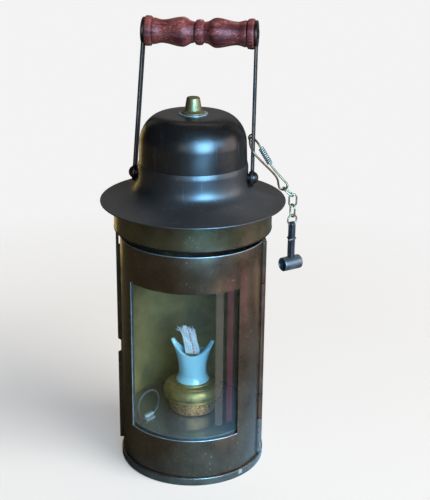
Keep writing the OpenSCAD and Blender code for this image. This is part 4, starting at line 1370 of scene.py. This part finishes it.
@dataclass
class Burner(Assembly):
    """Tank top with its pull ring, burner, porcelain crown and wick."""

    base_z: float = 46.3
    neck_r: float = 16.96
    skirt_top: float = 60.3
    knurl_r: float = 21.9
    knurl_count: int = 60
    knurl_h: float = 0.16
    bead_r: float = 27.8
    top_z: float = 76.7
    foot_r: float = 16.4
    waist_r: float = 13.2
    crown_h: float = 40.0
    horn: float = 20.6
    saddle_d: float = 12.6
    mouth: float = 9.4
    wall: float = 3.4
    wick_w: float = 14.0
    wick_t: float = 2.4
    wick_z: tuple[float, float] = (60.0, 129.5)
    bend_z: float = 103.0
    fray_z: float = 112.0
    thread_top: float = 130.2
    thread_r: float = 0.24
    bell_h: float = 10.0
    ring_angle: float = -52.7
    ring_turn: float = 20.7
    ring_r: float = 46.7
    ring_z: float = 48.85
    ring_bow: float = 13.6
    ring_bar: float = 7.4
    ring_wire: float = 1.1

    def shell(self) -> None:
        """Turns the copper skirt and the brass dome."""
        f = self.looks
        z, top = self.base_z, self.skirt_top
        skirt = rounded([
            (self.neck_r, z, 0), (20.6, z, 0.6), (21.6, z + 1.4, 0.8), (22.1, z + 4, 1.5), (22.5, z + 8, 1.5),
            (22.3, top - 1.2, 1.0), (21.4, top, 0.4), (self.neck_r, top, 0),
        ])

        def knurl(p: Vector) -> None:
            """Raises the fine crossed knurl on the skirt's side."""
            r = math.hypot(p.x, p.y)
            if r > self.knurl_r and z + 2.5 < p.z < top - 1.6:
                a = math.atan2(p.y, p.x)
                wave = math.sin(self.knurl_count * a + 3.0 * p.z) * math.sin(self.knurl_count * a - 3.0 * p.z)
                grow = 1 + self.knurl_h * wave / r
                p.x *= grow
                p.y *= grow

        piece = turned("copper_skirt", skirt, steps=360, sharp=60, shape=knurl)
        self.bench.add(piece, f.copper, Body.BURNER, "copper", "burner_skirt")
        b, r, t = top, self.bead_r, self.top_z
        dome = rounded([
            (19.5, b, 0), (r - 2.6, b, 0.3), (r - 1.2, b + 0.1, 0.6), (r - 0.9, b + 1.3, 0.7), (r - 2.2, b + 2.0, 0.4),
            (r - 1.9, b + 2.6, 0.5), (r - 0.3, b + 4.0, 1.2), (r, b + 6.0, 2.4), (r - 0.7, b + 9.4, 2.4),
            (r - 3.4, b + 12.4, 2.4), (22.6, b + 13.0, 0.4), (22.2, b + 13.6, 0.4), (18.6, b + 14.3, 0.8),
            (17.7, b + 15.0, 0.6), (17.6, t - 0.2, 0.4), (16.0, t - 0.1, 0.3), (9.6, t - 0.1, 0), (9.6, t - 1.4, 0),
            (16.2, t - 1.5, 0.5), (16.2, b + 12.6, 1), (22.0, b + 11.4, 2), (25.6, b + 8.0, 2),
            (26.0, b + 3.4, 1), (19.5, b + 1.4, 0),
        ], steps=6)
        piece = turned("brass_dome", dome, steps=144, sharp=55)
        self.bench.add(piece, f.brass, Body.BURNER, "old_brass", "burner_dome")
        for node in ("crown_seat", "wick_tube"):
            self.bench.dress(node, f.brass)

    def crown_r(self, h: float) -> float:
        """Finds the crown's outer radius along X.

        Args:
            h: height above its foot, in millimetres.

        Returns:
            The radius in millimetres.
        """
        if h < self.bell_h:
            return self.waist_r + (self.foot_r - self.waist_r) * (1 - h / self.bell_h) ** 2.6
        share = (h - self.bell_h) / (self.crown_h - self.bell_h)
        return self.waist_r + (self.horn + 0.4 - self.waist_r) * share**1.75

    def crown_depth(self, h: float) -> float:
        """Gives the crown's outer radius along Y at a height above its foot."""
        u = smoothstep((h - 12) / (self.crown_h - 12))
        return self.crown_r(min(h, self.bell_h)) * (1 - u) + self.mouth * u

    def crown(self) -> None:
        """Lofts the porcelain crown: round at its foot, with two horns at its mouth."""
        saddle_r = (self.horn**2 + self.saddle_d**2) / (2 * self.saddle_d)

        def loft(p: Vector) -> None:
            """Moves a point of a plain tube onto the crown.

            Args:
                p: the point, whose height is its share of the way up to the mouth; it is changed in place.
            """
            share = p.z
            a = math.atan2(p.y, p.x)
            rim = self.crown_h - self.saddle_d
            for _ in range(12):
                x = min(abs(self.crown_r(rim) * math.cos(a)), saddle_r * 0.999)
                rim = self.crown_h - self.saddle_d + saddle_r - math.sqrt(saddle_r**2 - x * x)
                rim = min(rim, self.crown_h - 0.4)
            h = share * rim
            p.x = self.crown_r(h) * math.cos(a)
            p.y = self.crown_depth(h) * math.sin(a)
            p.z = self.top_z + h

        lines = [(10.0, i / 40) for i in range(41)]
        piece = turned("porcelain_horns", lines, steps=96, closed=False, shape=loft)
        walls = piece.modifiers.new("wall", "SOLIDIFY")
        walls.thickness = self.wall * MM
        walls.offset = -1.0
        walls.use_even_offset = False
        soft = piece.modifiers.new("soft", "SUBSURF")
        soft.levels = soft.render_levels = 1
        self.bench.add(piece, self.looks.glaze, Body.BURNER, "porcelain", "porcelain_crown")

    def wick_line(self, z: float) -> float:
        """Gives how far the wick leans to -X at a height."""
        u = max(z - self.bend_z, 0.0)
        return -(0.0055 * u * u + 0.1 * u)

    def thread(self, start: Vector, lean: Vector, curl: Vector, reach: float) -> list[Vector]:
        """Draws a loose thread that stays below the highest point of the wick.

        Args:
            start: where it leaves the wick, in metres.
            lean: direction in which it leaves.
            curl: how it bends off that direction.
            reach: its length in metres.

        Returns:
            Points along the thread.
        """
        line = [start + lean * (reach * k / 4) + curl * (reach * (k / 4) ** 2 * 0.5) for k in range(5)]
        return curve_through([Vector((q.x, q.y, min(q.z, self.thread_top * MM))) for q in line], 2)

    def wick(self) -> None:
        """Weaves the flat wick with a frayed end."""
        rng = random.Random(7)
        bm = bmesh.new()
        bmesh.ops.create_grid(bm, x_segments=18, y_segments=60, size=0.5)
        uv = bm.loops.layers.uv.new("strip")
        bottom, top = self.wick_z
        ragged = [rng.uniform(-2.6, 1.0) for _ in range(20)]
        for face in bm.faces:
            for loop in face.loops:
                loop[uv].uv = (loop.vert.co.x + 0.5, (loop.vert.co.y + 0.5) * 3.0)
        for v in bm.verts:
            u, along = v.co.x, v.co.y + 0.5
            z = bottom + (top - bottom) * along
            if z > self.fray_z:
                tear = ragged[int((u + 0.5) * 18)] + 2.6 * math.cos(2.2 * math.pi * (u + 0.08))
                z += tear * ((z - self.fray_z) / (top - self.fray_z)) ** 2
            narrow = 1 - 0.06 * smoothstep((z - 104) / 10) + 0.1 * smoothstep((z - 118) / 12)
            x = u * self.wick_w * narrow + self.wick_line(z)
            wave = 0.35 * math.sin(9 * u + 0.4 * z) * smoothstep((z - 104) / 10)
            v.co = mm(x, wave, z)
        strip = finish_mesh("cotton_wick", bm, 70)
        thick = strip.modifiers.new("thickness", "SOLIDIFY")
        thick.thickness = self.wick_t * MM
        thick.offset = 0.0
        self.bench.add(strip, self.looks.cotton, Body.WICK, "wick_cotton", "wick")
        threads = []
        for _ in range(46):
            u = rng.uniform(-0.5, 0.5)
            z0 = rng.uniform(122.5, 128.5)
            start = mm(u * self.wick_w * 0.84 + self.wick_line(z0), rng.uniform(-1.1, 1.1), z0)
            lean = Vector((rng.uniform(-0.9, 0.45), rng.uniform(-0.6, 0.6), rng.uniform(0.1, 0.9))).normalized()
            curl = Vector((rng.uniform(-0.6, 0.6), rng.uniform(-0.6, 0.6), rng.uniform(-0.8, 0.2)))
            reach = rng.uniform(1.6, 4.2) * MM
            threads.append(self.thread(start, lean, curl, reach))
        corner = mm(-0.42 * self.wick_w + self.wick_line(126.5), 0, 126.5)
        droop = Vector((0, 0, -0.5))
        for _ in range(16):
            lean = Vector((rng.uniform(-1.0, -0.5), rng.uniform(-0.5, 0.5), rng.uniform(0.1, 0.8))).normalized()
            start = corner + mm(rng.uniform(-0.6, 2.0), rng.uniform(-1.0, 1.0), rng.uniform(-2.0, 1.0))
            reach = rng.uniform(2.5, 5.0) * MM
            threads.append(self.thread(start, lean, droop, reach))
        piece = wire("frayed_threads", threads, self.thread_r, sides=1)
        self.bench.add(piece, self.looks.cotton, Body.WICK, "wick_cotton")

    def pull_ring(self) -> None:
        """Bends the pull ring."""
        turn = Matrix.Rotation(math.radians(self.ring_angle - 90), 4, "Z")
        place = turn @ Matrix.Translation(mm(self.ring_r, 0, self.ring_z))
        place = place @ Matrix.Rotation(math.radians(self.ring_turn), 4, "Z")
        rise = math.sqrt(self.ring_bow**2 - self.ring_bar**2)
        start = math.asin(rise / self.ring_bow)
        loop = [mm(x * self.ring_bar / 4, 0, 0) for x in range(-4, 4)]
        for i in range(49):
            a = -start + (math.pi + 2 * start) * i / 48
            loop.append(mm(self.ring_bow * math.cos(a), 0, rise + self.ring_bow * math.sin(a)))
        piece = wire("ring_wire", [[place @ p for p in loop[:-1]]], self.ring_wire, cyclic=True, sides=4)
        self.bench.add(piece, self.looks.ring, Body.RING, "steel_wire", "pull_ring")

    def build(self) -> None:
        """Builds the burner and what stands round it."""
        f = self.looks
        self.shell()
        self.crown()
        self.wick()
        self.pull_ring()
        for node, material in (
            ("tank_top", f.tank), ("tank_drum", f.tank), ("tank_neck", f.brass), ("pull_staple", f.pale),
        ):
            self.bench.dress(node, material)


@dataclass
class Studio:
    """Floor, light and camera."""

    camera_at: Point = (151.7, -935.6, 562.2)
    heading: float = 7.99
    pitch: float = 20.58
    roll: float = 0.58
    focal_px: float = 1110.8
    image_h: float = 500.0
    sensor: float = 36.0
    backdrop: float = 0.896
    near_glow: float = 0.38
    floor_colour: Colour = (0.70, 0.585, 0.505)
    # Colours that only bounced and mirrored rays see: a dim floor (painted shade), a bright blue pool near the foot
    # (painted light and reflection) and a warm dark on the minus-x side (painted shadow).
    painted_dim_floor: Colour = (0.10, 0.115, 0.12)
    painted_foot_light: Colour = (0.36, 0.64, 0.88)
    painted_shadow_side: Colour = (0.16, 0.115, 0.06)
    room: float = 0.025
    room_colour: Colour = (1.0, 0.92, 0.80)

    def camera(self) -> None:
        """Places the camera at the photograph's viewing angle."""
        a, p, r = (math.radians(v) for v in (self.heading, self.pitch, self.roll))
        ahead = Vector((-math.sin(a) * math.cos(p), math.cos(a) * math.cos(p), -math.sin(p)))
        right = Vector((math.cos(a), math.sin(a), 0))
        up = right.cross(ahead)
        x = right * math.cos(r) + up * math.sin(r)
        y = up * math.cos(r) - right * math.sin(r)
        data = bpy.data.cameras.new("photo_view")
        data.sensor_width = self.sensor
        data.lens = self.focal_px / self.image_h * self.sensor
        obj = in_scene("photo_view", data)
        turn = Matrix((x, y, -ahead)).transposed().to_4x4()
        obj.matrix_world = Matrix.Translation(mm(*self.camera_at)) @ turn
        bpy.context.scene.camera = obj

    def lamp(
        self, name: str, at: Point, aim: float, size: tuple[float, float], watts: float, colour: Colour,
        card: bool = False,
    ) -> None:
        """Hangs a soft rectangular light.

        Args:
            name: name of the light.
            at: its place in metres.
            aim: height of the point on the axis that it faces, in metres.
            size: width and height in metres.
            watts: its power.
            colour: its colour.
            card: whether it is a card, which shows only in glossy surfaces.
        """
        data = bpy.data.lights.new(name, "AREA")
        data.shape = "RECTANGLE"
        data.size, data.size_y = size
        data.energy = watts
        data.color = colour
        obj = in_scene(name, data)
        ahead = Vector((0, 0, aim)) - Vector(at)
        obj.matrix_world = Matrix.Translation(Vector(at)) @ ahead.to_track_quat("-Z", "Y").to_matrix().to_4x4()
        obj.visible_camera = False
        obj.visible_diffuse = not card
        obj.visible_transmission = not card

    def sun(self, name: str, towards: Point, spread: float, strength: float, colour: Colour) -> None:
        """Hangs a broad distant light, which is left out of reflections.

        Args:
            name: name of the light.
            towards: direction from the lamp to the light.
            spread: apparent width in degrees.
            strength: its strength.
            colour: its colour.
        """
        data = bpy.data.lights.new(name, "SUN")
        data.angle = math.radians(spread)
        data.energy = strength
        data.color = colour
        obj = in_scene(name, data)
        obj.matrix_world = Vector(towards).to_track_quat("Z", "Y").to_matrix().to_4x4()
        obj.visible_glossy = False

    def in_sight(self, sh: Shader) -> Socket:
        """Finds the rays that reach the eye unmirrored, also straight through the glass.

        Args:
            sh: shader calls of the floor's or the room's tree.

        Returns:
            1 for those rays, and 0 for mirrored and scattered ones.
        """
        path = sh.node("ShaderNodeLightPath").outputs
        turned_off = sh.math("ADD", path["Diffuse Depth"], path["Glossy Depth"])
        through = sh.math("MULTIPLY", path["Is Transmission Ray"], sh.band(turned_off, 0, 1, (1, 0)))
        return sh.math("MAXIMUM", path["Is Camera Ray"], through)

    def floor(self) -> None:
        """Lays the pale floor, which keeps the lamp's soft shadow; to bounced and mirrored rays it shows a dimmer
        colour, with a painted pool of light near the foot and a painted shadow on the minus-x side.
        """
        bm = bmesh.new()
        bmesh.ops.create_grid(bm, x_segments=2, y_segments=2, size=9.0)
        obj = finish_mesh("floor", bm)
        material, sh, principled, coords = new_material("pale_floor")
        seen = self.in_sight(sh)
        grain = sh.noise(coords, 3.0, 2.0)
        pale = sh.mix(grain, self.floor_colour, tuple(0.99 * c for c in self.floor_colour))
        far = sh.node("ShaderNodeVectorMath", {0: coords}, operation="LENGTH").outputs["Value"]
        # Painted shadow: to bounced and mirrored rays the floor turns warm and dark on the side where x is negative.
        left = sh.band(sh.axis(coords, "X"), 0.05, -0.07)
        # Painted light and reflection: a bright blue pool near the foot, dim further out.
        painted_light_pool = sh.mix(sh.band(far, 0.12, 0.26), self.painted_foot_light, self.painted_dim_floor)
        painted_bounce_colour = sh.mix(left, painted_light_pool, self.painted_shadow_side)
        sh.feed(principled, {"Base Color": sh.mix(seen, painted_bounce_colour, pale), "Roughness": 0.9, "Specular IOR Level": 0.0})
        glow = sh.node("ShaderNodeEmission", {"Color": (self.backdrop,) * 3 + (1,), "Strength": 1.0})
        share = sh.math("MULTIPLY", seen, sh.band(far, 0.35, 0.75, (self.near_glow, 1.0)))
        sh.show(share, principled, glow)
        obj.data.materials.append(material)

    def world(self) -> None:
        """Sets the dim light of the room and the pale backdrop."""
        world = bpy.data.worlds.new("studio_room")
        world.use_nodes = True
        bpy.context.scene.world = world
        sh = Shader(world.node_tree)
        back = next(n for n in world.node_tree.nodes if n.type == "BACKGROUND")
        sh.feed(back, {"Color": (*self.room_colour, 1), "Strength": self.room})
        pale = sh.node("ShaderNodeBackground", {"Color": (self.backdrop,) * 3 + (1,), "Strength": 1.0})
        sh.show(self.in_sight(sh), back, pale)

    def build(self) -> None:
        """Sets up the studio."""
        bpy.context.scene.view_settings.view_transform = "Standard"
        self.camera()
        self.world()
        self.floor()
        blue, gold, rose, white = (0.14, 0.53, 1.0), (1.0, 0.72, 0.25), (1.0, 0.25, 0.45), (1.0, 0.98, 0.97)
        sky, day, ice = (0.24, 0.58, 1.0), (0.95, 0.98, 1.0), (0.60, 0.82, 1.0)
        amber, sand = (1.0, 0.6, 0.3), (1.0, 0.92, 0.82)
        self.sun("window_light", (0.92, -0.39, 0.75), 42.0, 5.6, (0.76, 0.90, 1.0))
        for panel in (
            ("sky_strip", (0.70, -1.33, 0.70), 0.20, (0.9, 1.4), 24.0, sky),
            ("front_fill", (0.80, -1.05, 0.62), 0.10, (0.9, 0.7), 7.0, day),
            ("side_panel", (1.5, 0.0, 0.45), 0.20, (1.2, 0.9), 10.0, white),
            ("back_panel", (0.0, 1.9, 1.2), 0.25, (4.0, 1.4), 4.5, white),
            ("high_panel", (0.1, 1.2, 2.0), 0.25, (1.6, 1.0), 5.0, white),
        ):
            self.lamp(*panel)
        for card in (
            ("sky_card", (0.82, -1.26, 0.70), 0.30, (0.80, 0.80), 90.0, blue),
            ("wing_card", (1.30, -0.75, 0.82), 0.30, (0.80, 0.50), 13.0, blue),
            ("low_card", (0.26, -0.50, 0.20), 0.20, (0.10, 0.20), 0.18, blue),
            ("front_card", (-0.10, -1.50, 0.70), 0.30, (0.80, 0.60), 4.0, ice),
            ("gold_card", (-0.40, 0.46, 0.17), 0.25, (0.10, 0.34), 0.22, gold),
            ("gold_low_card", (-0.20, 0.33, 0.05), 0.10, (0.08, 0.09), 0.05, gold),
            ("rose_card", (0.42, 0.02, 0.045), 0.12, (0.05, 0.08), 0.05, rose),
            ("amber_card", (0.34, 0.22, 0.05), 0.12, (0.04, 0.09), 0.03, amber),
            ("sand_streak_card", (0.098, -0.103, 0.088), 0.088, (0.026, 0.15), 0.022, sand),
            ("rose_streak_card", (0.128, -0.075, 0.084), 0.084, (0.024, 0.15), 0.018, rose),
        ):
            self.lamp(*card, card=True)


def main() -> None:
    """Builds the studio and the lamp."""
    logging.basicConfig(level=logging.INFO, format="%(name)s: %(message)s")
    Studio().build()
    bench = Bench()
    bail = Bail(bench)
    for part in (LampBody(bench), TopWorks(bench), bail, Lanyard(bench, bail), ChainToggle(bench), Burner(bench)):
        part.build()


if __name__ == "__main__":
    main()
